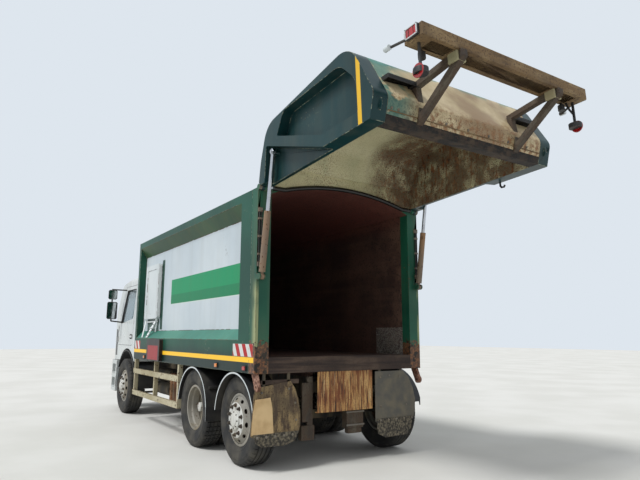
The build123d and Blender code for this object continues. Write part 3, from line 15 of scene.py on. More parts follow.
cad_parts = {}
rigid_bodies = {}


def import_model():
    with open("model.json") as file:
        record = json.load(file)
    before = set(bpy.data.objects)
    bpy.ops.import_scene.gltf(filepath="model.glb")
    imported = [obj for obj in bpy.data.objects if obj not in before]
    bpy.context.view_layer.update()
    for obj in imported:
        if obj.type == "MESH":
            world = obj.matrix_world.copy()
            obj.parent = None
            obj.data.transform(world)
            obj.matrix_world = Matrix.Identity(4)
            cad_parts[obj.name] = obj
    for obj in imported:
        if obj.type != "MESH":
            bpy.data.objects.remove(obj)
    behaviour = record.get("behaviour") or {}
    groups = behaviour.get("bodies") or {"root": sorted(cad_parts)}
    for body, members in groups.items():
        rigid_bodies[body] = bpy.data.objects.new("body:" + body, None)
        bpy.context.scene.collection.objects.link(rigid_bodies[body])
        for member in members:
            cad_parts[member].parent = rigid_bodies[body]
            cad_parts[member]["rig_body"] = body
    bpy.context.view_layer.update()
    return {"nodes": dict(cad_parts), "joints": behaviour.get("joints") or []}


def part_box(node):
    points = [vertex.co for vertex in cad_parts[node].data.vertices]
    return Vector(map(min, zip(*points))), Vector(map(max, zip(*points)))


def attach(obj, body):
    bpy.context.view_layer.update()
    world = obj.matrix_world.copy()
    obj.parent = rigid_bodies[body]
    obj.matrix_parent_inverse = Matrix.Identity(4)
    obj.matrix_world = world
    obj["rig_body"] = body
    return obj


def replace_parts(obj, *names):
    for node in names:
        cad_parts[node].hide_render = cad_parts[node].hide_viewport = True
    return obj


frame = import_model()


def show(thing):
    """Put an object into the scene."""
    bpy.context.scene.collection.objects.link(thing)


# %% [markdown]
# Places on the truck are easier to think of from two corners: the body's rear face on the
# ground, and the tailgate's hinge. Both are measured on the frame, and every place below is
# given from one of them. The tailgate's own directions lie along its sheet (down) and away
# from it (out), and are already turned by the angle at which it stands.

# %% Places to measure from
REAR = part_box("body_front_wall")[1].x - 5.0
HINGE_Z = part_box("body_side_left")[1].z
swing = next(joint for joint in frame["joints"] if joint["name"] == "tailgate_swing")
RAISED = math.radians(swing["range_deg"][1])
GATE_DOWN = Vector((-math.sin(RAISED), 0.0, -math.cos(RAISED)))
GATE_OUT = Vector((-math.cos(RAISED), 0.0, math.sin(RAISED)))


def at(x, y, z):
    """A point given forward from the body's rear face, to the left and up from the ground."""
    return Vector((REAR + x, y, z))


def on_gate(down, out, y):
    """A point given along the raised tailgate's sheet from its hinge, and out from it."""
    return at(0.0, y, HINGE_Z) + GATE_DOWN * down + GATE_OUT * out


def gate_place(centre):
    """How far a point, given from the rear face, lies along the tailgate's sheet and out from it."""
    reach = Vector((centre.x, 0.0, centre.z - HINGE_Z))
    return reach.dot(GATE_DOWN), reach.dot(GATE_OUT)


print("rear face", round(REAR, 3), "hinge", round(HINGE_Z, 3), "raised", round(math.degrees(RAISED), 1))

# %% [markdown]
# ## The camera
# The photograph was taken by someone standing behind the truck, on its left, looking slightly
# up. The camera is placed by a standpoint and three angles, and its lens follows from how many
# pixels wide the picture is and how far, in those same pixels, the lens stands from it.

# %% The camera
PICTURE_WIDTH = 640
FOCAL_PIXELS = 551.2
SENSOR_MM = 36.0
YAW, PITCH, ROLL = -0.5782, 0.1724, 0.0031
STANDPOINT = (-5.668, 4.080, 1.499)

look = Vector((math.cos(YAW) * math.cos(PITCH), math.sin(YAW) * math.cos(PITCH), math.sin(PITCH)))
right = Vector((math.sin(YAW), -math.cos(YAW), 0.0))
up = right.cross(look)
tilted_right = right * math.cos(ROLL) + up * math.sin(ROLL)
tilted_up = up * math.cos(ROLL) - right * math.sin(ROLL)
turn = Matrix((tilted_right, tilted_up, -look)).transposed().to_4x4()
camera = bpy.data.objects.new("photo_camera", bpy.data.cameras.new("photo_camera"))
camera.data.sensor_width = SENSOR_MM
camera.data.lens = FOCAL_PIXELS / PICTURE_WIDTH * SENSOR_MM
camera.data.clip_end = 500.0
camera.matrix_world = Matrix.Translation(at(*STANDPOINT)) @ turn
show(camera)
bpy.context.scene.camera = camera
print("lens", round(camera.data.lens, 2), "mm")

# %% [markdown]
# ## Finishes
# Paint on a working truck is never one colour. It fades in patches, dust gathers low down, rain
# draws it into streaks, and rust starts where the paint has chipped. Such a finish can be
# painted by hand on a texture, or worked out by nodes from a point's place on the object. The
# nodes need no pictures and stay sharp close up, so they are used here. The class below only
# keeps the wiring out of sight: each of its methods adds a few nodes and returns their output.

# %% A finish made of nodes


def shade(red, green, blue, share=1.0):
    """The linear colour, or a share of it, for one given as it looks on a screen, from 0 to 255."""
    parts = [value / 255 for value in (red, green, blue)]
    linear = [v / 12.92 if v < 0.04 else ((v + 0.055) / 1.055) ** 2.4 for v in parts]
    return tuple(part * share for part in linear) + (1.0,)


class Finish:
    """A material whose nodes read a point's place on the truck."""

    def __init__(self, name, roughness=0.5, metallic=0.0):
        self.material = bpy.data.materials.new(name)
        self.material.use_nodes = True
        self.nodes = self.material.node_tree.nodes
        self.links = self.material.node_tree.links
        self.shader = self.nodes["Principled BSDF"]
        self.shader.inputs["Roughness"].default_value = roughness
        self.shader.inputs["Metallic"].default_value = metallic
        self.place = self.nodes.new("ShaderNodeTexCoord").outputs["Object"]
        parts = self.add("ShaderNodeSeparateXYZ", {"Vector": self.place})
        self.x, self.y, self.z = parts.outputs

    def feed(self, socket, value):
        """Link a socket to another node's output, or set it to a value."""
        if isinstance(value, bpy.types.NodeSocket):
            self.links.new(value, socket)
        else:
            socket.default_value = value

    def add(self, kind, inputs=None):
        node = self.nodes.new(kind)
        for name, value in (inputs or {}).items():
            self.feed(node.inputs[name], value)
        return node

    def work(self, operation, first, second):
        """One step of arithmetic, such as MULTIPLY or MAXIMUM."""
        node = self.nodes.new("ShaderNodeMath")
        node.operation = operation
        self.feed(node.inputs[0], first)
        self.feed(node.inputs[1], second)
        return node.outputs[0]

    def times(self, first, second):
        return self.work("MULTIPLY", first, second)

    def plus(self, first, second):
        return self.work("ADD", first, second)

    def most(self, first, second):
        return self.work("MAXIMUM", first, second)

    def ramp(self, value, low, high):
        """0 where the value is below low, 1 where it is above high, smooth in between."""
        node = self.nodes.new("ShaderNodeMapRange")
        node.interpolation_type = "SMOOTHSTEP"
        self.feed(node.inputs[0], value)
        node.inputs[1].default_value = low
        node.inputs[2].default_value = high
        return node.outputs[0]

    def cloud(self, scale, low=0.35, high=0.65, stretch=(1.0, 1.0, 1.0), detail=5.0):
        """Random patches, about `scale` of them to a metre; a small stretch draws them long."""
        place = self.add("ShaderNodeMapping", {"Vector": self.place, "Scale": stretch}).outputs[0]
        noise = self.add("ShaderNodeTexNoise", {"Vector": place, "Scale": scale, "Detail": detail})
        return self.ramp(noise.outputs[0], low, high)

    def band(self, value, low, high, soft=0.002):
        """1 where the value lies between low and high."""
        above = self.ramp(value, low - soft, low + soft)
        return self.times(above, self.ramp(value, high + soft, high - soft))

    def patch(self, x, z):
        """1 inside a rectangle on the truck's side, in metres from the body's rear face."""
        return self.times(self.band(self.x, REAR + x[0], REAR + x[1]), self.band(self.z, z[0], z[1]))

    def beyond(self, low, high):
        """0 nearer to the truck's middle plane than low, 1 further out than high."""
        return self.ramp(self.work("ABSOLUTE", self.y, 0.0), low, high)

    def from_hinge(self, direction):
        """How far a point lies from the tailgate's hinge along a direction."""
        node = self.nodes.new("ShaderNodeVectorMath")
        node.operation = "DOT_PRODUCT"
        self.feed(node.inputs[0], self.place)
        node.inputs[1].default_value = direction
        return self.work("SUBTRACT", node.outputs["Value"], on_gate(0.0, 0.0, 0.0).dot(direction))

    def worn(self):
        """1 on the narrow faces that round a piece's edges."""
        node = self.nodes.new("ShaderNodeAttribute")
        node.attribute_name = "worn"
        return node.outputs["Fac"]

    def mix(self, share, below, above):
        """Two colours, the second over the first by a share from 0 to 1."""
        node = self.nodes.new("ShaderNodeMix")
        node.data_type = "RGBA"
        self.feed(node.inputs[0], share)
        for place, colour in ((6, below), (7, above)):
            self.feed(node.inputs[place], shade(*colour) if isinstance(colour, tuple) else colour)
        return node.outputs[2]

    def lay(self, below, mask, share, above):
        """A second colour laid where a mask is, by a share of the mask's strength."""
        return self.mix(self.times(mask, share), below, above)

    def done(self, colour, height=None, depth=0.001, roughness=None):
        """Plug colour, relief and gloss into the shader and return the material."""
        self.feed(self.shader.inputs["Base Color"], colour)
        if roughness is not None:
            self.feed(self.shader.inputs["Roughness"], roughness)
        if height is not None:
            bump = self.add("ShaderNodeBump", {"Height": height, "Distance": depth})
            self.links.new(bump.outputs[0], self.shader.inputs["Normal"])
        return self.material


RUST = (98, 58, 34)
DARK_RUST = (58, 36, 26)
DUST = (128, 116, 92)
print("a finish has nodes for clouds, bands, streaks and worn edges")

# %% [markdown]
# Most of the truck is painted steel, so one recipe serves for all of it. The paint fades in
# large clouds. Dirt runs down in streaks, drawn from clouds stretched along Z, and lies thicker
# near the ground. Rust comes through in small spots that gather in patches, and along the
# edges, where the narrow faces of each rounded edge carry a mark named worn.

# %% Weathered paint


def weathered(name, colour, faded, dirt=0.4, rust=0.2, edge=RUST, wear=0.6, gloss=0.42, marks=()):
    """Painted steel. Marks are pairs of a function that draws a mask, and the mark's colour."""
    finish = Finish(name)
    paint = finish.mix(finish.cloud(0.9), colour, faded)
    for mask, mark in marks:
        paint = finish.mix(mask(finish), paint, mark)
    streaks = finish.cloud(7.0, 0.42, 0.75, stretch=(1.0, 1.0, 0.07))
    smears = finish.times(finish.cloud(2.2, 0.4, 0.8), finish.ramp(finish.z, 2.6, 0.6))
    soil = finish.times(finish.most(streaks, smears), dirt)
    paint = finish.mix(soil, paint, DUST)
    gathered = finish.cloud(1.7, 0.62 - 0.3 * rust, 0.80 - 0.3 * rust)
    spots = finish.times(finish.cloud(26.0, 0.60, 0.66, detail=8.0), gathered)
    chips = finish.times(finish.worn(), finish.cloud(11.0, 0.62 - 0.3 * wear, 0.68 - 0.3 * wear))
    rusty = finish.most(spots, finish.times(chips, 0.9))
    paint = finish.mix(rusty, paint, finish.mix(finish.cloud(40.0), edge, DARK_RUST))
    height = finish.plus(finish.cloud(3.0), finish.times(rusty, 0.6))
    rough = finish.plus(finish.times(finish.most(soil, rusty), 0.45), gloss)
    finish.shader.inputs["Specular IOR Level"].default_value = 0.3
    return finish.done(paint, height, 0.0012, rough)


body_green = weathered("body_green", (14, 62, 50), (26, 78, 62), dirt=0.15, rust=0.3,
                       edge=(150, 160, 140), wear=0.5)
# The ledge's up-facing faces: a lighter teal, partly a painted highlight.
ledge_teal_and_highlight = weathered("ledge_teal_and_highlight", (44, 112, 96), (66, 130, 112), dirt=0.12, rust=0.15)
rail_olive = weathered("rail_olive", (34, 72, 50), (58, 90, 58), dirt=0.15, rust=0.2)
print("paints so far", len(bpy.data.materials))

# %% [markdown]
# The side panel is a pale sheet with a broad green band. The band could be a thin sheet of its
# own, but a painted area has no thickness that shows, so it is a rectangle in the paint's own
# coordinates. It starts behind the hatch and ends before the rear post, darker in its lower part
# and with a thin pale line at its foot.

# %% Side panel and chevrons


def area(x, z):
    """A function that draws a rectangle on both sides of the truck."""
    return lambda finish: finish.patch(x, z)


def left_area(x, z):
    """The same on the left side alone."""
    return lambda finish: finish.times(finish.patch(x, z), finish.ramp(finish.y, 0.0, 0.1))


SKIRT_FACE = (1.246, 1.248)
BAND_X = (0.45, 3.37)
CHEVRONS_Z = (1.262, 1.405)
CHEVRONS_X = ((0.05, 0.59), (4.62, 4.96))
WHITE_BAR, RED_BAR = (205, 208, 204), (168, 18, 20)


def stripe_area(finish):
    """The reflective stripe along the foot of the body's side."""
    return finish.times(finish.patch((0.03, 5.0), (1.197, 1.256)), finish.beyond(*SKIRT_FACE))


def chevron_patch(finish, x):
    """A small rectangle over the stripe."""
    return finish.times(finish.patch(x, CHEVRONS_Z), finish.beyond(*SKIRT_FACE))


def chevron_bars(finish, x):
    """The red bars that slant across that rectangle."""
    slanted = finish.plus(finish.work("SUBTRACT", finish.x, REAR), finish.times(finish.z, -0.55))
    bars = finish.ramp(finish.work("PINGPONG", slanted, 0.095), 0.046, 0.049)
    return finish.times(bars, chevron_patch(finish, x))


def skirt_shadow(finish):
    """The skirt darkens towards its foot."""
    return finish.times(finish.ramp(finish.z, 1.42, 1.24), 0.75)


# Each mark lies over those before it: first the wall's foot, painted dark as painted shade for the shadowed
# recess under the body, then the shadow.
skirt_marks = [(area((0.15, 5.1), (0.9, 1.197)), (20, 22, 22)), (skirt_shadow, (2, 40, 36))]
stripe_and_bars = [(stripe_area, (250, 196, 44))]
for ends in CHEVRONS_X:
    stripe_and_bars.append((lambda finish, x=ends: chevron_patch(finish, x), WHITE_BAR))
    stripe_and_bars.append((lambda finish, x=ends: chevron_bars(finish, x), RED_BAR))
side_panel = weathered(
    "side_panel", (184, 195, 202), (196, 205, 210), dirt=0.08, rust=0.02, gloss=0.45,
    marks=[
        (area(BAND_X, (2.005, 2.41)), (0, 138, 88)),
        (area(BAND_X, (2.012, 2.16)), (0, 120, 76)),
        (area(BAND_X, (1.998, 2.012)), (196, 208, 204)),
        # painted shade on the sheet behind and between the ladder's legs, and painted shadow as a dark
        # green strip behind the hatch
        (left_area((3.95, 4.62), (1.5, 1.785)), (84, 104, 100)),
        (left_area((3.775, 3.91), (1.60, 2.80)), (8, 58, 46)),
    ],
)
skirt_green = weathered(
    "skirt_green", (6, 62, 48), (14, 78, 60), dirt=0.06, rust=0.2, edge=(150, 160, 140),
    marks=skirt_marks + stripe_and_bars,
)
hatch_white = weathered("hatch_white", (196, 204, 206), (206, 212, 214), dirt=0.2, rust=0.05, gloss=0.35)
print("side panel and skirt painted")

# %% [markdown]
# Bare steel needs more relief than paint. The load space is scoured dark brown by what slides
# through it, paler at its mouth and redder under the roof. Long clouds, drawn out along the
# floor, make the scouring, and small sharp ones the pits.

# %% Load space


def load_space_finish():
    finish = Finish("load_space")
    base = finish.mix(finish.cloud(1.4), (58, 38, 32), (84, 58, 48))
    scoured = finish.cloud(9.0, 0.45, 0.75, stretch=(0.08, 1.0, 1.0))
    base = finish.lay(base, scoured, 0.35, (110, 82, 66))
    mouth = finish.ramp(finish.x, REAR + 1.1, REAR + 0.2)
    worn_mouth = finish.times(mouth, finish.cloud(5.0, 0.42, 0.62, detail=8.0))
    base = finish.lay(base, worn_mouth, 0.5, (112, 84, 68))
    base = finish.lay(base, finish.ramp(finish.z, 2.9, 3.3), 0.7, (104, 46, 36))
    grey = finish.times(finish.patch((0.15, 0.72), (1.2, 1.62)), finish.ramp(finish.y, -1.0, -1.06))
    base = finish.lay(base, grey, finish.cloud(110.0, 0.40, 0.62, detail=9.0), (150, 148, 140))
    pits = finish.cloud(45.0, 0.55, 0.6, detail=8.0)
    base = finish.lay(base, pits, 0.6, (34, 24, 20))
    return finish.done(base, finish.plus(pits, scoured), 0.003, 0.75)


load_space = load_space_finish()
print("load space scoured")

# %% [markdown]
# The tailgate's inner sheet still has its cream-green coat. Rust comes through it as specks
# that crowd together towards the far side and the lip, so the specks are drawn all over and a
# second mask, which grows in those two directions, says how many of them show.

# %% Inner sheet of the tailgate


def tailgate_sheet_finish():
    finish = Finish("tailgate_sheet")
    base = finish.mix(finish.cloud(1.2), (184, 180, 142), (206, 200, 164))
    base = finish.lay(base, finish.cloud(1.6, 0.5, 0.75), 0.6, (142, 154, 120))
    down = finish.from_hinge(GATE_DOWN)
    wavy = finish.plus(finish.y, finish.times(finish.cloud(1.3, 0.2, 0.8), 0.35))
    far_side = finish.ramp(wavy, 0.0, -0.55)
    gathered = finish.plus(finish.times(finish.ramp(down, 1.5, 2.1), 0.35), finish.times(far_side, 0.55))
    gathered = finish.plus(gathered, finish.times(finish.cloud(1.1, 0.45, 0.85), 0.5))
    specks = finish.times(finish.cloud(78.0, 0.53, 0.58, detail=10.0), finish.ramp(gathered, -0.25, 0.6))
    runs = finish.cloud(22.0, 0.52, 0.60, stretch=(1.0, 1.0, 0.3), detail=12.0)
    rusty = finish.most(specks, finish.times(runs, finish.ramp(gathered, 0.2, 0.8)))
    worn_bare = finish.times(far_side, finish.ramp(finish.cloud(5.0, 0.2, 0.7, detail=9.0), 0.0, 0.9))
    base = finish.lay(base, worn_bare, 0.85, (82, 60, 42))
    base = finish.mix(rusty, base, finish.mix(finish.cloud(30.0), (128, 74, 36), (66, 42, 26)))
    trace = finish.times(finish.band(wavy, -0.12, -0.095, 0.012), finish.ramp(down, 2.1, 1.2))
    base = finish.lay(base, trace, 0.45, (178, 172, 142))
    return finish.done(base, rusty, 0.002, 0.6)


tailgate_sheet = tailgate_sheet_finish()
print("inner sheet speckled")

# %% [markdown]
# Outside, teal paint still holds along the sheet's top, near its left end and towards the hinge;
# the rest is bare tan steel with scabs of rust low down. Where paint and steel meet, the border
# is a cloud cut off sharply, which gives it the ragged edge of flaking paint.

# %% Outer sheet of the tailgate


def outer_sheet_finish():
    finish = Finish("outer_sheet", 0.6)
    bare = finish.mix(finish.cloud(2.2), (178, 160, 122), (206, 190, 154))
    smears = finish.cloud(2.0, 0.44, 0.62, stretch=(1.0, 0.7, 1.0), detail=8.0)
    bare = finish.lay(bare, smears, 0.75, (138, 112, 84))
    height = finish.from_hinge(GATE_OUT)
    scabs = finish.cloud(20.0, 0.42, 0.62, detail=15.0)
    gathered = finish.plus(finish.times(finish.cloud(1.6, 0.5, 0.8), 0.7), finish.ramp(height, 0.42, 0.12))
    bare = finish.lay(bare, scabs, gathered, (142, 104, 68))
    bare = finish.lay(bare, finish.cloud(70.0, 0.58, 0.62, detail=10.0), gathered, (92, 64, 44))
    near_side = finish.ramp(finish.y, 0.62, 0.98)
    front = finish.ramp(finish.from_hinge(GATE_DOWN), 1.95, 1.6)
    held = finish.plus(finish.ramp(height, 0.66, 0.80), finish.times(near_side, 0.85))
    patches = finish.plus(finish.cloud(4.0, 0.3, 0.7, detail=9.0), finish.times(front, 0.36))
    flaked = finish.times(finish.plus(held, front), finish.ramp(patches, 0.25, 0.45))
    paint = finish.mix(finish.cloud(3.0), (46, 104, 96), (84, 138, 124))
    sound = finish.mix(finish.cloud(1.2), (14, 54, 54), (30, 76, 72))
    paint = finish.lay(paint, front, 0.9, sound)
    return finish.done(finish.mix(flaked, bare, paint), finish.plus(scabs, flaked), 0.001, 0.55)


outer_sheet = outer_sheet_finish()
print("outer sheet flaked")

# %% [markdown]
# The plate, beams, struts and tanks differ in colour and in the way their rust runs, so they
# share one recipe: a pale and a dark brown in clouds, runs that are stretched in the direction
# of the water or of the grain, and pits. Only the hanging plate has runs of four kinds.

# %% Rusty steel


def rusty_steel(name, pale, dark, streak, stretch):
    finish = Finish(name)
    base = finish.mix(finish.cloud(3.0), dark, pale)
    runs = finish.cloud(16.0, 0.4, 0.62, stretch=stretch, detail=8.0)
    base = finish.mix(runs, base, streak)
    pits = finish.cloud(60.0, 0.56, 0.62, detail=9.0)
    return finish.done(finish.lay(base, pits, 0.7, DARK_RUST), finish.plus(pits, runs), 0.0015, 0.8)


def rear_plate_finish():
    """The hanging plate: water draws red-brown and black runs down through its tan coat."""
    finish = Finish("rear_plate_rust", 0.75)
    base = finish.mix(finish.cloud(3.0), (190, 146, 88), (128, 76, 42))
    for scale, low, share, colour in (
        (30.0, 0.44, 0.75, (112, 56, 26)), (44.0, 0.52, 0.8, (200, 160, 104)),
        (52.0, 0.54, 0.85, (58, 36, 26)), (24.0, 0.62, 0.7, (216, 190, 148)),
    ):
        runs = finish.cloud(scale, low, low + 0.1, stretch=(1.0, 1.0, 0.09), detail=10.0)
        base = finish.lay(base, runs, share, colour)
    specks = finish.cloud(90.0, 0.58, 0.62, detail=8.0)
    return finish.done(finish.lay(base, specks, 0.7, (52, 34, 26)), finish.plus(runs, specks), 0.0015)


rear_plate_rust = rear_plate_finish()
beam_rust = rusty_steel("beam_rust", (82, 66, 54), (50, 37, 30), (40, 29, 24), (1.0, 0.07, 1.0))
edge_rust = rusty_steel("edge_rust", (72, 58, 44), (36, 31, 26), (18, 16, 14), (1.0, 0.5, 1.0))
tank_rust = rusty_steel("tank_rust", (150, 120, 84), (92, 84, 72), (128, 78, 46), (1.0, 1.0, 0.15))
flap_brown = rusty_steel("flap_brown", (148, 126, 88), (96, 82, 60), (76, 62, 48), (1.0, 1.0, 0.3))
strut_rust = rusty_steel("strut_rust", (92, 84, 70), (58, 50, 42), (74, 60, 46), (0.3, 1.0, 0.3))
lamp_beam_rust = rusty_steel("lamp_beam_rust", (142, 120, 86), (88, 68, 44), (116, 92, 60), (1.0, 0.2, 1.0))
claw_rust = rusty_steel("claw_rust", (178, 138, 120), (120, 78, 56), (92, 56, 40), (1.0, 1.0, 1.0))
print("rusty steels", len(bpy.data.materials))

# %% [markdown]
# The other painted parts need no recipe of their own. The cab has a black strip ahead of its
# doors, and the box on the skirt has a red face; both are rectangles laid over the paint.

# %% Paints of the small parts
barrel_paint = weathered("barrel_paint", (112, 104, 96), (150, 116, 84), dirt=0.3, rust=1.2, gloss=0.5)
guard_paint = weathered("guard_paint", (160, 150, 118), (182, 174, 146), dirt=0.35, rust=0.8, gloss=0.5)
cab_paint = weathered(
    "cab_paint", (192, 198, 198), (204, 209, 208), dirt=0.25, rust=0.05, gloss=0.25,
    marks=[(area((6.69, 6.83), (1.09, 1.63)), (24, 25, 27))],
)
chassis_paint = weathered("chassis_paint", (34, 33, 33), (48, 45, 42), dirt=0.7, rust=0.5, gloss=0.6)


def red_face(finish):
    return finish.times(finish.patch((3.37, 3.93), (1.106, 1.335)), finish.ramp(finish.y, 1.300, 1.304))


box_paint = weathered(
    "box_paint", (20, 18, 20), (34, 28, 28), dirt=0.2, rust=0.05, gloss=0.35,
    marks=[(red_face, (150, 14, 28))],
)
# A brighter white: on the hatch's rear-facing edge it is a painted highlight; the ladder's legs and
# crossbar take it too.
white_and_highlight = weathered("white_and_highlight", (236, 239, 240), (226, 230, 232), dirt=0.08, rust=0.02, gloss=0.3)
print("paints in all", len(bpy.data.materials))

# %% [markdown]
# Rubber, plastic, glass, chrome and the lamps' lenses are simpler, but none is one flat
# colour: powder lies on rubber and plastic, glass carries dust, chrome is smeared, and a lens
# has fine ribs that are relief only.

# %% Rubber, plastic, glass and lenses
RIBS_A_METRE = 80.0


def dusty(name, colour, powder, share, roughness, scale=3.0, grain=120.0, depth=0.0004):
    """Rubber or plastic with powder lying on it and a fine grain."""
    finish = Finish(name)
    lying = finish.times(finish.cloud(scale, 0.35, 0.8), share)
    worn = finish.times(finish.worn(), 0.25)
    colour = finish.mix(finish.most(lying, worn), colour, powder)
    rough = finish.plus(finish.times(lying, 0.3), roughness)
    return finish.done(colour, finish.cloud(grain), depth, rough)


def clear(name, colour, transmission, roughness, dust_share):
    """A pane or lens that lets light through, with dust on it."""
    finish = Finish(name, roughness)
    lying = finish.times(finish.cloud(2.5, 0.4, 0.9), dust_share)
    finish.shader.inputs["Transmission Weight"].default_value = transmission
    finish.shader.inputs["IOR"].default_value = 1.45
    return finish.done(finish.mix(lying, colour, DUST), None, 0.0, finish.plus(lying, roughness))


def lens(name, colour):
    """A ribbed lamp glass, with 60 % of its colour's light in the darker clouds."""
    finish = Finish(name, 0.12)
    finish.shader.inputs["Coat Weight"].default_value = 0.6
    ribs = finish.times(finish.work("PINGPONG", finish.y, 1.0 / RIBS_A_METRE), RIBS_A_METRE)
    return finish.done(finish.mix(finish.cloud(8.0), colour, colour + (0.6,)), ribs, 0.002)


def polished(name, colour, roughness):
    finish = Finish(name, roughness, 1.0)
    smears = finish.cloud(9.0, 0.35, 0.8, stretch=(0.3, 1.0, 1.0))
    rough = finish.plus(finish.times(smears, 0.15), roughness)
    return finish.done(finish.mix(smears, colour, colour + (0.8,)), None, 0.0, rough)


black_plastic = dusty("black_plastic", (26, 27, 29), (110, 104, 92), 0.35, 0.5)
tyre_rubber = dusty("tyre_rubber", (34, 34, 34), (108, 103, 92), 0.5, 0.8, scale=5.0)
flap_grey = dusty("flap_grey", (88, 86, 80), (124, 116, 98), 0.8, 0.8, scale=7.0)
flap_muddy = dusty("flap_muddy", (50, 47, 43), (150, 140, 118), 0.8, 0.9, 38.0, 60.0, 0.002)
worn_board = dusty("worn_board", (216, 186, 138), (160, 122, 78), 0.6, 0.7, scale=6.0)
seal_rubber = dusty("seal_rubber", (20, 20, 21), (90, 86, 78), 0.3, 0.5)
seal_gloss = dusty("seal_gloss", (13, 13, 14), (70, 66, 60), 0.15, 0.16)
cab_trim = dusty("cab_trim", (62, 64, 68), (110, 106, 98), 0.3, 0.7)
seat_cloth = dusty("seat_cloth", (42, 46, 56), (88, 88, 92), 0.4, 0.9, grain=900.0, depth=0.0008)
glass = clear("glass", (176, 194, 198), 0.85, 0.03, 0.25)
lamp_clear = clear("lamp_clear", (226, 230, 232), 0.5, 0.08, 0.1)
lamp_red = lens("lamp_red", (176, 20, 24))
lamp_amber = lens("lamp_amber", (214, 120, 16))
chrome = polished("chrome", (196, 198, 202), 0.16)
mirror_glass = polished("mirror_glass", (214, 218, 222), 0.03)
nut_steel = weathered("nut_steel", (96, 92, 86), (128, 122, 112), dirt=0.5, rust=0.8, gloss=0.5)
print("finishes in all", len(bpy.data.materials))

# %% [markdown]
# ## Dressing the CAD pieces
# A CAD piece arrives as loose triangles with knife-sharp edges. Real sheet steel is folded and
# welded, and its edges catch the light. So each piece is copied, its vertices are merged, its
# flat faces joined, and its sharp edges beveled by a few millimetres. The bevel's new faces get
# the mark that the paints read as wear. A rule may give different faces different finishes.

# %% Dressing a piece


def as_piece(name, form, body, finishes, smooth=32.0):
    """Turn a finished bmesh into an object that rides on one of the truck's bodies."""
    mesh = bpy.data.meshes.new(name)
    form.to_mesh(mesh)
    form.free()
    for finish in finishes:
        mesh.materials.append(finish)
    mesh.shade_smooth()
    mesh.set_sharp_from_angle(angle=math.radians(smooth))
    piece = bpy.data.objects.new(name, mesh)
    show(piece)
    even = piece.modifiers.new("even_shading", "WEIGHTED_NORMAL")
    even.keep_sharp = True
    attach(piece, body)
    return piece


def in_place_of(node, ending, form, finishes):
    """Put a finished form where a CAD node was, on the same body."""
    piece = as_piece(node + ending, form, frame["nodes"][node]["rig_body"], finishes)
    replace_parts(piece, node)
    return piece


def everything(form):
    return form.verts[:] + form.edges[:] + form.faces[:]


def node_form(node):
    """A merged copy of a CAD node's mesh with its flat triangles joined."""
    form = bmesh.new()
    form.from_mesh(frame["nodes"][node].data)
    bmesh.ops.remove_doubles(form, verts=form.verts, dist=0.00003)
    bmesh.ops.dissolve_limit(form, angle_limit=math.radians(1.0), verts=form.verts, edges=form.edges)
    return form


def round_edges(form, width, segments=2, sharp=35.0):
    """Bevel the sharp edges and mark the new faces as worn."""
    mark = form.faces.layers.float.get("worn") or form.faces.layers.float.new("worn")
    edges = [
        edge for edge in form.edges
        if len(edge.link_faces) == 2
        and edge.calc_face_angle(0.0) > math.radians(sharp)
        and edge.calc_length() > 2.5 * width
    ]
    made = bmesh.ops.bevel(
        form, geom=edges, offset=width, segments=segments, profile=0.5,
        affect="EDGES", material=-1, clamp_overlap=False,
    )
    for face in made["faces"]:
        face[mark] = 1.0


def dress(node, finishes, rule=None, width=0.003, cuts=()):
    """Replace a CAD node by its copy; cuts are planes that split faces before they are sorted."""
    form = node_form(node)
    for place, direction in cuts:
        bmesh.ops.bisect_plane(
            form, geom=everything(form), dist=0.00001, plane_co=place, plane_no=direction,
        )
    if rule:
        for face in form.faces:
            centre = face.calc_center_median()
            centre.x -= REAR
            face.material_index = rule(centre, face.normal)
    if width:
        round_edges(form, width)
    return in_place_of(node, "_finished", form, finishes)


def plain_nodes(*names):
    """The names that exist in the frame, for left and right pieces as for single ones."""
    found = []
    for name in names:
        found += [node for node in (name, name + "_left", name + "_right") if node in frame["nodes"]]
    return found


# %% [markdown]
# ## The body
# The rule for the side walls sorts faces by where they lie: the inner face belongs to the load
# space, the set-back sheet is the pale panel, and the sloping strip under it is the ledge, whose
# up-facing faces take a lighter teal that is partly a painted highlight. The slope under the top
# rail is olive with dirt.

# %% Side walls


def side_rule(centre, normal):
    """0 skirt and posts, 1 panel, 2 ledge in lighter teal, partly a painted highlight, 3 underside of the
    top rail, 4 load space, 5 ladder.
    """
    y = abs(centre.y)
    if y < 1.09 and abs(normal.y) > 0.9:
        return 4
    if 1.12 < y < 1.14 and abs(normal.y) > 0.9 and centre.z > 1.5:
        return 1
    if y > 1.131 and 3.86 < centre.x < 4.72 and 1.46 < centre.z < 1.8:
        return 5
    if normal.z > 0.3 and centre.z < 1.6:
        return 2
    if normal.z < -0.3 and centre.z > 2.9:
        return 3
    return 0


side_finishes = [skirt_green, side_panel, ledge_teal_and_highlight, rail_olive, load_space, hatch_white]
for node in plain_nodes("body_side"):
    dress(node, side_finishes, side_rule, 0.004)
print("side walls dressed")

# %% [markdown]
# The rear frame is one CAD piece with a green outside, a brown inside and a rusty floor beam. A
# face that belongs to two of them is cut along the border first, with a plane, and only then
# sorted. The foot of each pillar is almost all rust: scabs and grime laid over one mask.

# %% Rear frame, floor, roof and front wall
FLOOR_TOP = 1.256
LOAD_SPACE_HALF = 1.0745
HOSE_X = -0.011
HOSES_Y = (1.206, 1.232)
HOSE_REACH = 0.0098


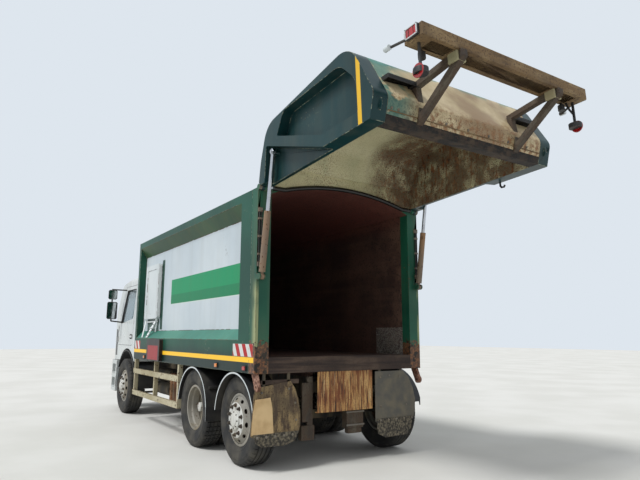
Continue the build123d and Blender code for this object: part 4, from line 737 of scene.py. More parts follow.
def rear_frame_rule(centre, normal):
    """0 green post, 1 rusty floor beam, 2 load space, 3 claw, 4 hose, 5 hose clip or fitting."""
    y = abs(centre.y)
    if centre.z < 1.08 and y > 1.1:
        return 3
    if y < LOAD_SPACE_HALF:
        if centre.z > 3.2 and (normal.x < -0.5 or normal.z > 0.3):
            return 0
        return 1 if centre.z < FLOOR_TOP else 2
    if centre.x < -0.001 and centre.z > 2.28 and 1.19 < y < 1.246:
        reach = min(math.hypot(centre.x - HOSE_X, y - hose_y) for hose_y in HOSES_Y)
        return 4 if reach < HOSE_REACH else 5
    return 0


def pillar_edge(finish):
    """The faded cream strip along the outer edge of each pillar's rear face."""
    strip = finish.band(finish.work("ABSOLUTE", finish.y, 0.0), 1.215, 1.26)
    strip = finish.times(strip, finish.ramp(finish.x, REAR + 0.12, REAR + 0.004))
    strip = finish.times(strip, finish.cloud(9.0, 0.3, 0.5, stretch=(1.0, 1.0, 0.2)))
    return finish.times(strip, finish.ramp(finish.z, 2.2, 1.95))


def pillar_foot(finish):
    """Rust that covers the foot of each pillar."""
    low = finish.ramp(finish.z, 1.62, 1.2)
    mottled = finish.cloud(24.0, 0.2, 0.8, detail=12.0)
    reached = finish.ramp(finish.plus(low, finish.times(mottled, 0.6)), 0.72, 0.86)
    return finish.times(reached, finish.ramp(finish.z, 1.66, 1.5))


def foot_scabs(finish):
    """Orange scabs on that rust."""
    return finish.times(pillar_foot(finish), finish.cloud(38.0, 0.46, 0.58, detail=10.0))


def foot_grime(finish):
    """Black grime between the scabs."""
    return finish.times(pillar_foot(finish), finish.cloud(15.0, 0.52, 0.60, detail=12.0))


pillar_green = weathered(
    "pillar_green", (16, 70, 54), (32, 92, 70), dirt=0.25, rust=0.35, edge=(112, 88, 62),
    marks=[(pillar_edge, (150, 158, 116)), (pillar_foot, (84, 60, 46)), (foot_scabs, (126, 84, 54)),
           (foot_grime, (34, 29, 26))] + stripe_and_bars,
)
frame_cuts = [
    (at(0.0, LOAD_SPACE_HALF, 0.0), (0.0, 1.0, 0.0)),
    (at(0.0, -LOAD_SPACE_HALF, 0.0), (0.0, 1.0, 0.0)),
    (at(0.0, 0.0, FLOOR_TOP), (0.0, 0.0, 1.0)),
]
frame_finishes = [pillar_green, beam_rust, load_space, claw_rust, seal_rubber, nut_steel]
dress("rear_frame", frame_finishes, rear_frame_rule, 0.003, frame_cuts)


def shell_rule(centre, normal):
    """0 load space, 1 the roof's top and the front wall's face towards the cab."""
    return 1 if centre.z > 3.2 and normal.z > 0.5 or centre.x > 4.99 else 0


for node in ("body_floor", "body_roof", "body_front_wall"):
    dress(node, [load_space, body_green], shell_rule, 0.003)
print("body dressed")

# %% [markdown]
# ## The tailgate
# Each side is a plate with a raised rim round a sunk panel, and a brace below it. The yellow
# stripe runs straight across the rim, so it is a band measured along the tailgate's own
# direction. Inside, the sheet shows its speckled cream-green coat.

# %% Tailgate


def gate_stripe(finish):
    """The yellow stripe down the outside of each side plate."""
    run = finish.band(finish.from_hinge(GATE_DOWN), 1.952, 2.010)
    return finish.times(run, finish.beyond(1.245, 1.248))


gate_green = weathered(
    "gate_green", (8, 44, 46), (18, 56, 58), dirt=0.08, rust=0.12, edge=(150, 160, 140),
    marks=[(gate_stripe, (222, 176, 40))], gloss=0.35,
)
gate_middle = on_gate(1.0, 0.35, 0.0)
gate_middle.x -= REAR


def gate_side_rule(centre, normal):
    return 1 if abs(centre.y) < 1.1 and abs(normal.y) > 0.9 else 0


def skin_rule(centre, normal):
    """0 inner sheet and the front edge, 1 outer sheet."""
    inward = Vector((gate_middle.x - centre.x, 0.0, gate_middle.z - centre.z))
    return 0 if normal.dot(inward) > 0.0 or centre.x > -0.12 and normal.z < 0.5 else 1


for node in plain_nodes("tailgate_side"):
    dress(node, [gate_green, tailgate_sheet], gate_side_rule, 0.004)
dress("tailgate_skin", [tailgate_sheet, outer_sheet], skin_rule, 0.003)


def edge_beam_rule(centre, normal):
    """0 the beam along the edge, 1 struts, 2 the step plank."""
    down, out = gate_place(centre)
    if 0.64 < abs(centre.y) < 0.72 and out > 0.16:
        return 1
    return 2 if out > 0.3 else 0


def tail_lamp_rule(centre, normal):
    """0 black, 1 red lens, 2 pale cap at the end of the marker's arm."""
    down, out = gate_place(centre)
    if abs(centre.y) > 1.226:
        return 2
    return 1 if abs(normal.y) > 0.9 and abs(centre.y) > 1.179 and down > 2.53 and out > 0.5 else 0


dress("tailgate_edge_beam", [edge_rust, strut_rust, seal_rubber], edge_beam_rule, 0.003)
dress("lamp_beam", [lamp_beam_rust], None, 0.006)
dress("tail_lamps", [black_plastic, lamp_red, hatch_white], tail_lamp_rule, 0.003)
for node in plain_nodes("lift_barrel"):
    dress(node, [barrel_paint], None, 0.002)
for node in plain_nodes("lift_rod"):
    dress(node, [chrome], None, 0.001)
print("tailgate dressed")

# %% [markdown]
# ## Cab, chassis and small pieces
# The cab is a hollow shell, and a camera sees its inside through the windows. Painting it in two
# colours takes no second mesh: a face whose normal points towards the cab's middle is inside.
# Most of the other pieces take one paint each. The mirrors' panes are their housings' large
# rear faces, inset and set back.

# %% Cab and the rest
cab_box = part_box("cab_shell")
cab_middle = (cab_box[0] + cab_box[1]) / 2
cab_middle.x -= REAR


def cab_rule(centre, normal):
    """0 outside, 1 inside."""
    return 1 if normal.dot(cab_middle - centre) > 0.0 else 0


for node in plain_nodes("cab_shell", "cab_door"):
    dress(node, [cab_paint, cab_trim], cab_rule, 0.004)
for node in plain_nodes("windscreen", "door_glass"):
    dress(node, [glass], None, 0.0)
dress("cab_grille", [black_plastic], None, 0.003)
dress("front_bumper", [cab_paint], None, 0.005)
dress("headlamps", [lamp_clear], None, 0.002)
for node in plain_nodes("mirrors"):
    form = node_form(node)
    for face in [face for face in form.faces if face.normal.x < -0.95 and face.calc_area() > 0.01]:
        bmesh.ops.inset_individual(form, faces=[face], thickness=0.012)
        bmesh.ops.inset_individual(form, faces=[face], thickness=0.002, depth=-0.003)
        face.material_index = 1
    round_edges(form, 0.003)
    in_place_of(node, "_finished", form, [black_plastic, mirror_glass])
dress("side_guards", [guard_paint], None, 0.003)
dress("mudguards", [black_plastic, hatch_white],
      lambda centre, normal: 1 if abs(centre.y) > 1.2495 and abs(normal.y) > 0.9 else 0, 0.001)
dress("rear_plate", [rear_plate_rust], None, 0.001)
dress("equipment_box", [box_paint], None, 0.008)
# The hatch's rear-facing faces take the brighter white, a painted highlight.
dress("access_hatch", [hatch_white, white_and_highlight], lambda centre, normal: 1 if normal.x < -0.9 else 0, 0.004)
for node in plain_nodes("chassis_frame", "engine_block", "front_axle", "drive_axle", "tag_axle", "tie_rod",
                        "knuckle"):
    dress(node, [chassis_paint], None, 0.002)


def tank_rule(centre, normal):
    """0 air bottles, 1 the ribbed oil tank on the left, 2 the fuel tank on the right."""
    if centre.y > 0.0:
        return 1 if centre.x < 3.5 else 0
    return 2


dress("tanks", [chassis_paint, tank_rust, guard_paint], tank_rule, 0.002)

# %% [markdown]
# ## Tyres
# A truck tyre could be a smooth ring with a bump map, but its tread shows at the edge of the
# outline, so it is real geometry. One small sector is spun from the tyre's section: a tread
# block, then a narrow slot whose vertices are pulled in towards the axle. The sector is then
# copied round by a spin that duplicates, and the seams are merged. Steered and trailing
# wheels have ribs with short notches at the shoulder, driven wheels have blocks.

# %% One tyre of each tread
TYRE_SECTORS = 48
SECTOR = math.tau / TYRE_SECTORS
SLOT_WALL = SECTOR * 0.035
SLOT_FLOOR = SECTOR * 0.13
TYRE_R = 0.52
TYRE_HALF_SECTION = (
    # radius, distance from the tyre's middle plane
    (0.2868, 0.092), (0.2868, 0.104), (0.2990, 0.111), (0.3060, 0.110), (0.3120, 0.119),
    (0.3440, 0.134), (0.3480, 0.1375), (0.3520, 0.1355), (0.3980, 0.1445), (0.4380, 0.1460),
    (0.4420, 0.1490), (0.4460, 0.1455), (0.4780, 0.1400), (0.4820, 0.1425), (0.4860, 0.1390),
    (0.5020, 0.1310), (0.5130, 0.1210), (0.5195, 0.1090), (0.5200, 0.0860), (0.5080, 0.0830),
    (0.5080, 0.0740), (0.5200, 0.0710), (0.5200, 0.0350), (0.5080, 0.0320), (0.5080, 0.0230),
    (0.5200, 0.0200),
)


def ring_of_edges(form, section):
    """The section's points at the top of a wheel, joined into a loop, which stays open at an axle."""
    points = [form.verts.new((0.0, offset, radius)) for radius, offset in section]
    pairs = list(zip(points, points[1:] + points[:1]))
    if section[0][0] == 0.0:
        pairs.pop()
    return points + [form.edges.new(pair) for pair in pairs]


def about_axle(form, geom, angle, steps, **how):
    """Spin geometry round the wheel's axle, the Y axis."""
    return bmesh.ops.spin(form, geom=geom, cent=(0, 0, 0), axis=(0, 1, 0), angle=angle, steps=steps, **how)


def tyre_form(slotted, depth):
    """A tyre round the Y axis at the origin; slotted says which section points a slot reaches."""
    form = bmesh.new()
    other_half = [(radius, -offset) for radius, offset in reversed(TYRE_HALF_SECTION)]
    strip = ring_of_edges(form, list(TYRE_HALF_SECTION) + other_half)
    block = SECTOR - 2 * SLOT_WALL - SLOT_FLOOR
    lowered = []
    for step, angle in enumerate((block, SLOT_WALL, SLOT_FLOOR, SLOT_WALL)):
        strip = about_axle(form, strip, angle, 1)["geom_last"]
        if step in (1, 2):
            lowered += [v for v in strip if isinstance(v, bmesh.types.BMVert)]
    lowered = [v for v in lowered if slotted(math.hypot(v.co.x, v.co.z), abs(v.co.y))]
    shrink = 1.0 - depth / TYRE_R
    bmesh.ops.scale(form, vec=(shrink, 1.0, shrink), verts=lowered)
    about_axle(form, everything(form), math.tau - SECTOR, TYRE_SECTORS - 1, use_duplicate=True)
    bmesh.ops.remove_doubles(form, verts=form.verts, dist=0.00005)
    bmesh.ops.recalc_face_normals(form, faces=form.faces)
    return form


def as_mesh(name, form):
    mesh = bpy.data.meshes.new(name)
    form.to_mesh(mesh)
    form.free()
    return mesh


def at_shoulder(radius, offset):
    return radius > 0.500 and offset > 0.084


def on_tread(radius, offset):
    return radius > 0.515


ribbed_tyre = as_mesh("ribbed_tyre", tyre_form(at_shoulder, 0.009))
block_tyre = as_mesh("block_tyre", tyre_form(on_tread, 0.014))
print("tyre faces", len(ribbed_tyre.polygons), len(block_tyre.polygons))

# %% [markdown]
# Every tyre is a copy of one of the two, moved to the middle of the CAD tyre that it replaces.
# The twin tyres are one body in CAD, so both copies go into one piece.

# %% Tyres on their wheels


def moved_copy(form, mesh, place, mirrored=False):
    """Add a mesh to a form at a place, turned to the other side if it is mirrored."""
    before_verts = set(form.verts)
    before_faces = set(form.faces)
    form.from_mesh(mesh)
    verts = [vert for vert in form.verts if vert not in before_verts]
    if mirrored:
        bmesh.ops.scale(form, vec=(1.0, -1.0, 1.0), verts=verts)
        bmesh.ops.reverse_faces(form, faces=[face for face in form.faces if face not in before_faces])
    bmesh.ops.translate(form, vec=place, verts=verts)


def wheel_middle(node):
    low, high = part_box(node)
    return (low + high) / 2


tyre_half_width = (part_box("front_tyre_left")[1].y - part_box("front_tyre_left")[0].y) / 2
for side in ("left", "right"):
    for wheel in ("front", "tag"):
        node = wheel + "_tyre_" + side
        form = bmesh.new()
        moved_copy(form, ribbed_tyre, wheel_middle(node))
        in_place_of(node, "_tread", form, [tyre_rubber])
    node = "drive_tyres_" + side
    low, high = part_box(node)
    form = bmesh.new()
    for y in (low.y + tyre_half_width, high.y - tyre_half_width):
        moved_copy(form, block_tyre, Vector((wheel_middle(node).x, y, wheel_middle(node).z)))
    in_place_of(node, "_tread", form, [tyre_rubber])
print("tyres on")

# %% [markdown]
# ## Wheels
# A steel truck wheel is a rolled rim with a dished disc welded in. The disc is spun as one thin
# surface, because hand holes are easier to open in a surface than in a solid: the faces of a
# small area are joined and inset, the inset face's corners are drawn onto an oval, and the
# face is deleted. Solidify then gives the plate its thickness. The rim, the hub and the nuts
# are closed forms of their own, and everything is made once, for a wheel at the origin.

# %% The disc of a steel wheel
HOLES = 10
COLUMNS = 5
HOLE_LENGTH = 0.034
HOLE_WIDTH = 0.021
DISC_PLATE = 0.012
DISC_SECTION = (
    # radius, offset outward
    (0.098, 0.162), (0.188, 0.162), (0.202, 0.1595), (0.212, 0.1530), (0.240, 0.1325), (0.266, 0.1130),
    (0.275, 0.1030), (0.275, 0.0800),
)


def disc_with_holes():
    """The dished disc: white and flat where the nuts sit, grey on its cone."""
    form = bmesh.new()
    points = [form.verts.new((0.0, offset, radius)) for radius, offset in DISC_SECTION]
    strip = points + [form.edges.new(pair) for pair in zip(points, points[1:])]
    columns = HOLES * COLUMNS
    about_axle(form, strip, math.tau, columns, use_merge=True)
    bmesh.ops.remove_doubles(form, verts=form.verts, dist=0.00002)
    cells = {}
    for face in form.faces:
        middle = face.calc_center_median()
        radius = math.hypot(middle.x, middle.z)
        face.material_index = 0 if radius < 0.204 else 1
        if 0.215 < radius < 0.262:
            column = int(math.atan2(middle.x, middle.z) % math.tau / math.tau * columns)
            cells.setdefault(column // COLUMNS, []).append((column % COLUMNS, face))
    for column, faces in cells.items():
        joined = bmesh.utils.face_join([face for place, face in faces if place < 3])
        bmesh.ops.inset_individual(form, faces=[joined], thickness=0.006)
        middle = joined.calc_center_bounds()
        round_axle = Vector((middle.z, 0.0, -middle.x)).normalized()
        for vert in joined.verts:
            reach = vert.co - middle
            along = reach.dot(round_axle)
            over = (reach - round_axle * along).length
            vert.co = middle + reach / math.hypot(along / HOLE_LENGTH, over / HOLE_WIDTH)
        bmesh.ops.delete(form, geom=[joined], context="FACES_ONLY")
    bmesh.ops.recalc_face_normals(form, faces=form.faces)
    bmesh.ops.solidify(form, geom=form.faces[:], thickness=DISC_PLATE)
    return form


disc_mesh = as_mesh("wheel_disc", disc_with_holes())
print("wheel disc faces", len(disc_mesh.polygons))

# %% [markdown]
# The rim, hubs and brake drum are rings, each spun once from a closed section. The section is
# given as radius and offset along the axle, which is how a turner would measure the part. Nuts
# and bolts are made once at the top of their circle and spun round as copies.

# %% Rim, nuts, hubs and brake drum
NUT_CIRCLE = 0.1675
DISC_FACE = 0.162
RIM_SECTION = (
    (0.274, -0.114), (0.296, -0.116), (0.302, -0.113), (0.302, -0.107), (0.298, -0.104), (0.286, -0.102),
    (0.286, -0.060), (0.272, -0.045), (0.272, 0.045), (0.286, 0.060), (0.286, 0.102), (0.298, 0.104),
    (0.302, 0.107), (0.302, 0.113), (0.296, 0.116), (0.274, 0.114), (0.278, 0.060), (0.264, 0.040),
    (0.264, -0.040), (0.278, -0.060),
)
SINGLE_HUB_SECTION = (
    (0.0, 0.200), (0.060, 0.200), (0.070, 0.197), (0.075, 0.190), (0.100, 0.184), (0.109, 0.181),
    (0.112, 0.176), (0.112, 0.130), (0.0, 0.130),
)
DRIVE_HUB_SECTION = (
    (0.0, 0.206), (0.050, 0.206), (0.060, 0.200), (0.064, 0.100), (0.100, 0.086), (0.106, 0.082),
    (0.112, 0.060), (0.114, -0.020), (0.0, -0.020),
)
DRUM_SECTION = (
    (0.118, 0.100), (0.205, 0.100), (0.208, 0.090), (0.208, -0.060), (0.190, -0.060), (0.190, 0.078),
    (0.118, 0.078),
)


def nut_ring(count, circle, face, across, height, stud):
    """Hexagon nuts with their washers and studs, standing out from a face."""
    form = bmesh.new()
    turn = Matrix.Rotation(math.radians(-90.0), 4, "X")
    washer, nut = (across * 0.80, height * 0.25, 16), (across * 0.58, height, 6)
    for radius, length, sides in (washer, nut, (stud, height * 1.35, 10)):
        place = Matrix.Translation((0.0, face + length / 2, circle)) @ turn
        bmesh.ops.create_cone(
            form, cap_ends=True, segments=sides, radius1=radius, radius2=radius * 0.94, depth=length,
            matrix=place,
        )
    about_axle(form, everything(form), math.tau * (count - 1) / count, count - 1, use_duplicate=True)
    for nut_face in form.faces:
        nut_face.material_index = 2
    bmesh.ops.recalc_face_normals(form, faces=form.faces)
    return form


def ring_mesh(name, section, steps, finish, bolts=None):
    """A closed ring round the Y axis from a closed section, with bolts on its face if asked."""
    form = bmesh.new()
    about_axle(form, ring_of_edges(form, section), math.tau, steps, use_merge=True)
    bmesh.ops.remove_doubles(form, verts=form.verts, dist=0.00002)
    for face in form.faces:
        face.material_index = finish
    bmesh.ops.recalc_face_normals(form, faces=form.faces)
    if bolts:
        form.from_mesh(as_mesh("hub_bolts", nut_ring(*bolts)))
    return as_mesh(name, form)


rim_mesh = ring_mesh("wheel_rim", RIM_SECTION, 64, 1)
nuts_mesh = as_mesh("wheel_nuts", nut_ring(10, NUT_CIRCLE, DISC_FACE, 0.033, 0.026, 0.011))
single_hub = ring_mesh("single_hub", SINGLE_HUB_SECTION, 40, 0, (8, 0.091, 0.182, 0.014, 0.010, 0.004))
drive_hub = ring_mesh("drive_hub", DRIVE_HUB_SECTION, 40, 0, (10, 0.086, 0.088, 0.020, 0.014, 0.007))
drum_mesh = ring_mesh("brake_drum", DRUM_SECTION, 48, 3)
print("rim faces", len(rim_mesh.polygons), "nuts", len(nuts_mesh.polygons))

# %% [markdown]
# Twin wheels share one disc shape: the outer one is dished inwards and the inner one outwards,
# so their discs lie back to back at the hub. That is why the outer disc is mirrored, and why
# the nuts of a driven wheel sit deep inside its rim.

# %% Wheels on their axles
wheel_white = weathered("wheel_white", (216, 218, 214), (202, 202, 196), dirt=0.4, rust=0.25, gloss=0.4)
wheel_grey = weathered("wheel_grey", (112, 111, 106), (150, 146, 136), dirt=0.7, rust=0.5, gloss=0.55)
drum_rust = rusty_steel("drum_rust", (84, 66, 52), (56, 42, 34), (70, 50, 38), (1.0, 1.0, 1.0))
wheel_nut = weathered("wheel_nut", (58, 54, 50), (78, 70, 62), dirt=0.4, rust=0.9, gloss=0.5)
wheel_finishes = [wheel_white, wheel_grey, wheel_nut, drum_rust]
for side, mirrored in (("left", False), ("right", True)):
    outward = -1.0 if mirrored else 1.0
    for wheel in ("front", "tag"):
        node = wheel + "_rim_" + side
        middle = wheel_middle(wheel + "_tyre_" + side)
        form = bmesh.new()
        for mesh in (disc_mesh, rim_mesh, nuts_mesh, single_hub, drum_mesh):
            moved_copy(form, mesh, middle, mirrored)
        in_place_of(node, "_steel", form, wheel_finishes)
    node = "drive_rims_" + side
    low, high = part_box("drive_tyres_" + side)
    x, z = (low.x + high.x) / 2, (low.z + high.z) / 2
    outer_y = (low.y if mirrored else high.y) - outward * tyre_half_width
    inner_y = (high.y if mirrored else low.y) + outward * tyre_half_width
    form = bmesh.new()
    for y, turned_in in ((outer_y, not mirrored), (inner_y, mirrored)):
        for mesh in (disc_mesh, rim_mesh):
            moved_copy(form, mesh, Vector((x, y, z)), turned_in)
    face_y = outer_y - outward * (DISC_FACE - DISC_PLATE)
    moved_copy(form, nuts_mesh, Vector((x, face_y - outward * DISC_FACE, z)), mirrored)
    moved_copy(form, drive_hub, Vector((x, face_y, z)), mirrored)
    moved_copy(form, drum_mesh, Vector((x, inner_y, z)), mirrored)
    in_place_of(node, "_steel", form, wheel_finishes)
print("wheels on")

# %% [markdown]
# ## Small fittings
# Bolts, seals, hoses and lamps are too small for CAD but give the truck its scale. Each kind is
# made from the plain bmesh operator that is nearest to the real thing: a six-sided cone for a
# bolt head, a ring that is extruded along a path for a seal, an outline that is extruded for a
# plate. Every tool below adds one closed form to a group that rides on a single body.

# %% Blocks, plates and round bars


def made_since(form, before, finish, width=0.0):
    """Turn outward, round and paint the faces that were added after a moment."""
    new = [face for face in form.faces if face not in before]
    bmesh.ops.recalc_face_normals(form, faces=new)
    if width:
        edges = {edge for face in new for edge in face.edges if edge.calc_face_angle(0.0) > 0.6}
        bmesh.ops.bevel(
            form, geom=list(edges), offset=width, segments=2, profile=0.5, affect="EDGES", material=-1,
        )
    for face in form.faces:
        if face not in before:
            face.material_index = finish


def only(kind, parts):
    return [part for part in parts if isinstance(part, kind)]


def block(form, low, high, finish=0, width=0.003, turn=None):
    """A box between two corners, turned round its own middle if asked."""
    before = set(form.faces)
    low, high = Vector(low), Vector(high)
    bmesh.ops.create_cube(form, size=1.0, matrix=Matrix.LocRotScale((low + high) / 2, turn, high - low))
    made_since(form, before, finish, width)


def plate(form, outline, depth, finish=0, width=0.002):
    """A flat sheet from its outline, given its thickness along a direction."""
    before = set(form.faces)
    face = form.faces.new([form.verts.new(point) for point in outline])
    grown = bmesh.ops.extrude_face_region(form, geom=[face])["geom"]
    bmesh.ops.translate(form, vec=depth, verts=only(bmesh.types.BMVert, grown))
    made_since(form, before, finish, width)


def turned(form, start, end, radius, finish=0, sides=20, width=0.0, far_radius=None):
    """A round bar, post or lamp body between two points."""
    before = set(form.faces)
    start, end = Vector(start), Vector(end)
    turn = (end - start).to_track_quat("Z", "Y")
    bmesh.ops.create_cone(
        form, cap_ends=True, segments=sides, radius1=radius, radius2=far_radius or radius,
        depth=(end - start).length, matrix=Matrix.LocRotScale((start + end) / 2, turn, None),
    )
    made_since(form, before, finish, width)


print("tools for blocks, plates and round bars ready")

# %% [markdown]
# A hose could be a curve with a round bevel, but a curve would have to be turned into a mesh
# before it joins its group. So a ring is extruded from point to point, and at each point it is
# turned by the angle between the two stretches, which keeps the tube from twisting.

# %% Bolts and hoses


def bolt(form, place, direction, across=0.019, finish=0):
    """A hexagon head on a washer."""
    place, direction = Vector(place), Vector(direction).normalized()
    turned(form, place - direction * 0.001, place + direction * across * 0.15, across * 0.75, finish, 12)
    turned(form, place, place + direction * across * 0.65, across * 0.57, finish, 6, 0.0, across * 0.54)


def hose(form, points, radius, finish=0, sides=10):
    """A ring at the path's start, extruded and turned from each point to the next."""
    before = set(form.faces)
    points = [Vector(point) for point in points]
    steps = [(b - a).normalized() for a, b in zip(points, points[1:])]
    headings = [steps[0]] + [(a + b).normalized() for a, b in zip(steps, steps[1:])] + [steps[-1]]
    turn = headings[0].to_track_quat("Z", "Y")
    frame_now = Matrix.LocRotScale(points[0], turn, None)
    ring = bmesh.ops.create_circle(form, cap_ends=True, segments=sides, radius=radius, matrix=frame_now)
    edges = list({edge for vert in ring["verts"] for edge in vert.link_edges})
    for place, heading, last in zip(points[1:], headings[1:], headings):
        turn = last.rotation_difference(heading) @ turn
        frame_next = Matrix.LocRotScale(place, turn, None)
        grown = bmesh.ops.extrude_edge_only(form, edges=edges)["geom"]
        edges = [edge for edge in only(bmesh.types.BMEdge, grown) if edge.is_boundary]
        step = frame_next @ frame_now.inverted()
        bmesh.ops.transform(form, matrix=step, verts=only(bmesh.types.BMVert, grown))
        frame_now = frame_next
    bmesh.ops.edgeloop_fill(form, edges=edges)
    made_since(form, before, finish)


print("tools for bolts and hoses ready")

# %% [markdown]
# Behind the rear wheels hang two heavy rubber flaps. They don't mirror each other, so each is
# a plate cut to its own outline. A muddy strip is bolted along each foot. The left flap has lost
# its colour and carries a worn board. A bracket and a box hang between them from the floor beam.

# %% Mud flaps and what hangs between them
FLAP_X = 0.002
LEFT_FLAP = ((0.775, 0.985), (1.215, 0.925), (1.245, 0.86), (1.262, 0.62), (1.275, 0.41), (1.20, 0.385),
             (0.665, 0.405), (0.640, 0.50), (0.648, 0.64), (0.672, 0.78), (0.715, 0.90))
LEFT_STRIP = ((1.255, 0.43), (1.215, 0.335), (1.14, 0.290), (0.84, 0.285), (0.72, 0.325), (0.660, 0.43))
RIGHT_FLAP = ((-0.47, 1.055), (-0.93, 1.055), (-1.03, 0.97), (-1.105, 0.83), (-1.143, 0.68), (-1.135, 0.54),
              (-1.095, 0.43), (-0.47, 0.43))
RIGHT_STRIP = ((-0.475, 0.47), (-1.09, 0.47), (-1.045, 0.32), (-0.97, 0.245), (-0.62, 0.235), (-0.50, 0.29))
WORN_BOARD = ((0.995, 0.412), (1.268, 0.425), (1.254, 0.66), (1.228, 0.80), (1.04, 0.815), (1.015, 0.70))


flap_finishes = [
    flap_brown, flap_muddy, flap_grey, worn_board, nut_steel, chassis_paint, beam_rust, strut_rust,
]
form = bmesh.new()
for outline, x, thick, finish in (
    (LEFT_FLAP, FLAP_X, 0.011, 0), (LEFT_STRIP, FLAP_X - 0.010, 0.009, 1),
    (WORN_BOARD, FLAP_X - 0.009, 0.008, 3), (RIGHT_FLAP, FLAP_X, 0.011, 2),
    (RIGHT_STRIP, FLAP_X - 0.010, 0.009, 1),
):
    plate(form, [at(x, y, z) for y, z in outline], (thick, 0.0, 0.0), finish, 0.003)
for start, end, z in ((0.75, 1.20, 0.395), (-0.54, -1.06, 0.45)):
    for step in range(5):
        bolt(form, at(FLAP_X - 0.010, start + (end - start) * step / 4, z), (-1, 0, 0), 0.020, 4)
for y, z in ((0.70, 0.55), (0.715, 0.74), (0.80, 0.90), (1.15, 0.87), (-0.55, 0.98), (-0.70, 1.0),
             (-0.86, 0.98), (-0.55, 0.62), (-0.98, 0.62)):
    bolt(form, at(FLAP_X, y, z), (-1, 0, 0), 0.018, 4)
for low, high, finish, width in (
    # the bar behind the left flap, the four hangers, the bracket's three parts, the hung box
    ((0.014, 0.66, 0.955), (0.05, 1.16, 1.005), 6, 0.004),
    ((0.014, 0.78, 0.86), (0.022, 0.82, 1.09), 5, 0.002),
    ((0.014, 1.10, 0.86), (0.022, 1.14, 1.09), 5, 0.002),
    ((0.014, -0.57, 0.86), (0.022, -0.53, 1.09), 5, 0.002),
    ((0.014, -0.92, 0.86), (0.022, -0.88, 1.09), 5, 0.002),
    ((0.085, 0.42, 0.30), (0.125, 0.50, 1.02), 7, 0.006),
    ((0.075, 0.40, 0.29), (0.155, 0.585, 0.46), 7, 0.010),
    ((0.075, 0.47, 0.50), (0.115, 0.575, 0.95), 7, 0.008),
    ((0.08, -0.335, 0.375), (0.19, -0.075, 0.60), 7, 0.012),
    ((0.09, -0.315, 0.31), (0.17, -0.10, 0.378), 7, 0.016),
    ((0.072, -0.342, 0.405), (0.082, -0.068, 0.425), 4, 0.002),
    ((0.072, -0.342, 0.56), (0.082, -0.068, 0.58), 4, 0.002),
):
    block(form, at(*low), at(*high), finish, width)
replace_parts(as_piece("mud_flaps_hung", form, "chassis", flap_finishes), "mud_flaps")
print("mud flaps hung")

# %% [markdown]
# The tailgate's sheet ends in an arched apron that hangs just behind the roof's edge, so no
# daylight shows over the load space. A thick rubber seal runs along its foot. Both ride on the
# tailgate.

# %% The apron over the load space and its seal
SEAL_CROWN = 3.362
SEAL_BEND = 6.6
APRON_X = -0.046
APRON_HALF = 1.079
APRON_FOOT = 3.232
APRON_TOP = 3.503
APRON_THICK = 0.005
SEAL_RADIUS = 0.028


def seal_height(y):
    """The seal's arch; it is held clear of the hinge line near the corners."""
    return max(SEAL_CROWN - y * y / SEAL_BEND, APRON_FOOT)


steps = [APRON_HALF * (2 * step / 28 - 1) for step in range(29)]
form = bmesh.new()
arch = [at(APRON_X, y, seal_height(y)) for y in steps]
top = [at(APRON_X, APRON_HALF, APRON_TOP), at(APRON_X, -APRON_HALF, APRON_TOP)]
plate(form, arch + top, (-APRON_THICK, 0.0, 0.0), 0, 0.0)
hose(form, [at(APRON_X - 0.006, y, seal_height(y) - 0.006) for y in steps], SEAL_RADIUS, 1, 14)
as_piece("tailgate_apron", form, "tailgate", [tailgate_sheet, seal_gloss])
print("apron and seal")

# %% [markdown]
# The lamps on the raised beam are small, but they stand against the sky. The red lens sits in a
# pale frame on the beam's end, the marker hangs on a bent rubber arm, and each round lamp has
# a red ring on its outer face. The beam's struts end in a pale box with bolt heads.

# %% Lamps and fittings on the tailgate
bracket_cream = weathered("bracket_cream", (150, 146, 112), (168, 160, 128), dirt=0.3, rust=0.5, gloss=0.6)
gate_finishes = [
    seal_rubber, lamp_red, lamp_amber, hatch_white, nut_steel, strut_rust, gate_green, lamp_clear,
    lamp_beam_rust, beam_rust, bracket_cream,
]


def gate_sheet(form, downs, outs, y, thick, finish, width):
    """A rectangle in the tailgate's own directions, given its thickness sideways."""
    corners = ((downs[0], outs[0]), (downs[1], outs[0]), (downs[1], outs[1]), (downs[0], outs[1]))
    plate(form, [on_gate(down, out, y) for down, out in corners], (0.0, thick, 0.0), finish, width)


form = bmesh.new()
for side in (1.0, -1.0):
    def there(down, out, y):
        return on_gate(down, out, y * side)

    for downs, outs in (((2.545, 2.690), (0.545, 0.553)), ((2.545, 2.690), (0.632, 0.640)),
                        ((2.545, 2.556), (0.545, 0.640)), ((2.679, 2.690), (0.545, 0.640))):
        gate_sheet(form, downs, outs, 1.180 * side, 0.007 * side, 3, 0.001)
    for down in (2.590, 2.645):
        gate_sheet(form, (down - 0.002, down + 0.002), (0.553, 0.632), 1.180 * side, 0.003 * side, 0, 0.0)
    turned(form, there(2.600, 0.270, 1.105), there(2.600, 0.270, 1.118), 0.062, 1, 32, 0.003)
    turned(form, there(2.600, 0.270, 1.112), there(2.600, 0.270, 1.122), 0.036, 0, 24, 0.003)
    hose(form, [there(2.600, 0.330, 1.080), there(2.596, 0.40, 1.078), there(2.575, 0.455, 1.05),
                there(2.56, 0.52, 1.03), there(2.56, 0.545, 1.03)], 0.011, 0)
    turned(form, there(2.530, 0.445, 0.985), there(2.530, 0.505, 0.985), 0.034, 0, 24, 0.004)
    turned(form, there(2.530, 0.50, 0.985), there(2.530, 0.54, 0.985), 0.012, 0, 12)
    for y in (0.66, 0.72):
        bolt(form, there(2.615, 0.505, y), GATE_OUT * -1.0, 0.020, 4)
    gate_sheet(form, (2.585, 2.695), (0.440, 0.532), 0.735 * side, -0.110 * side, 10, 0.004)
print("tailgate lamps", len(form.faces))
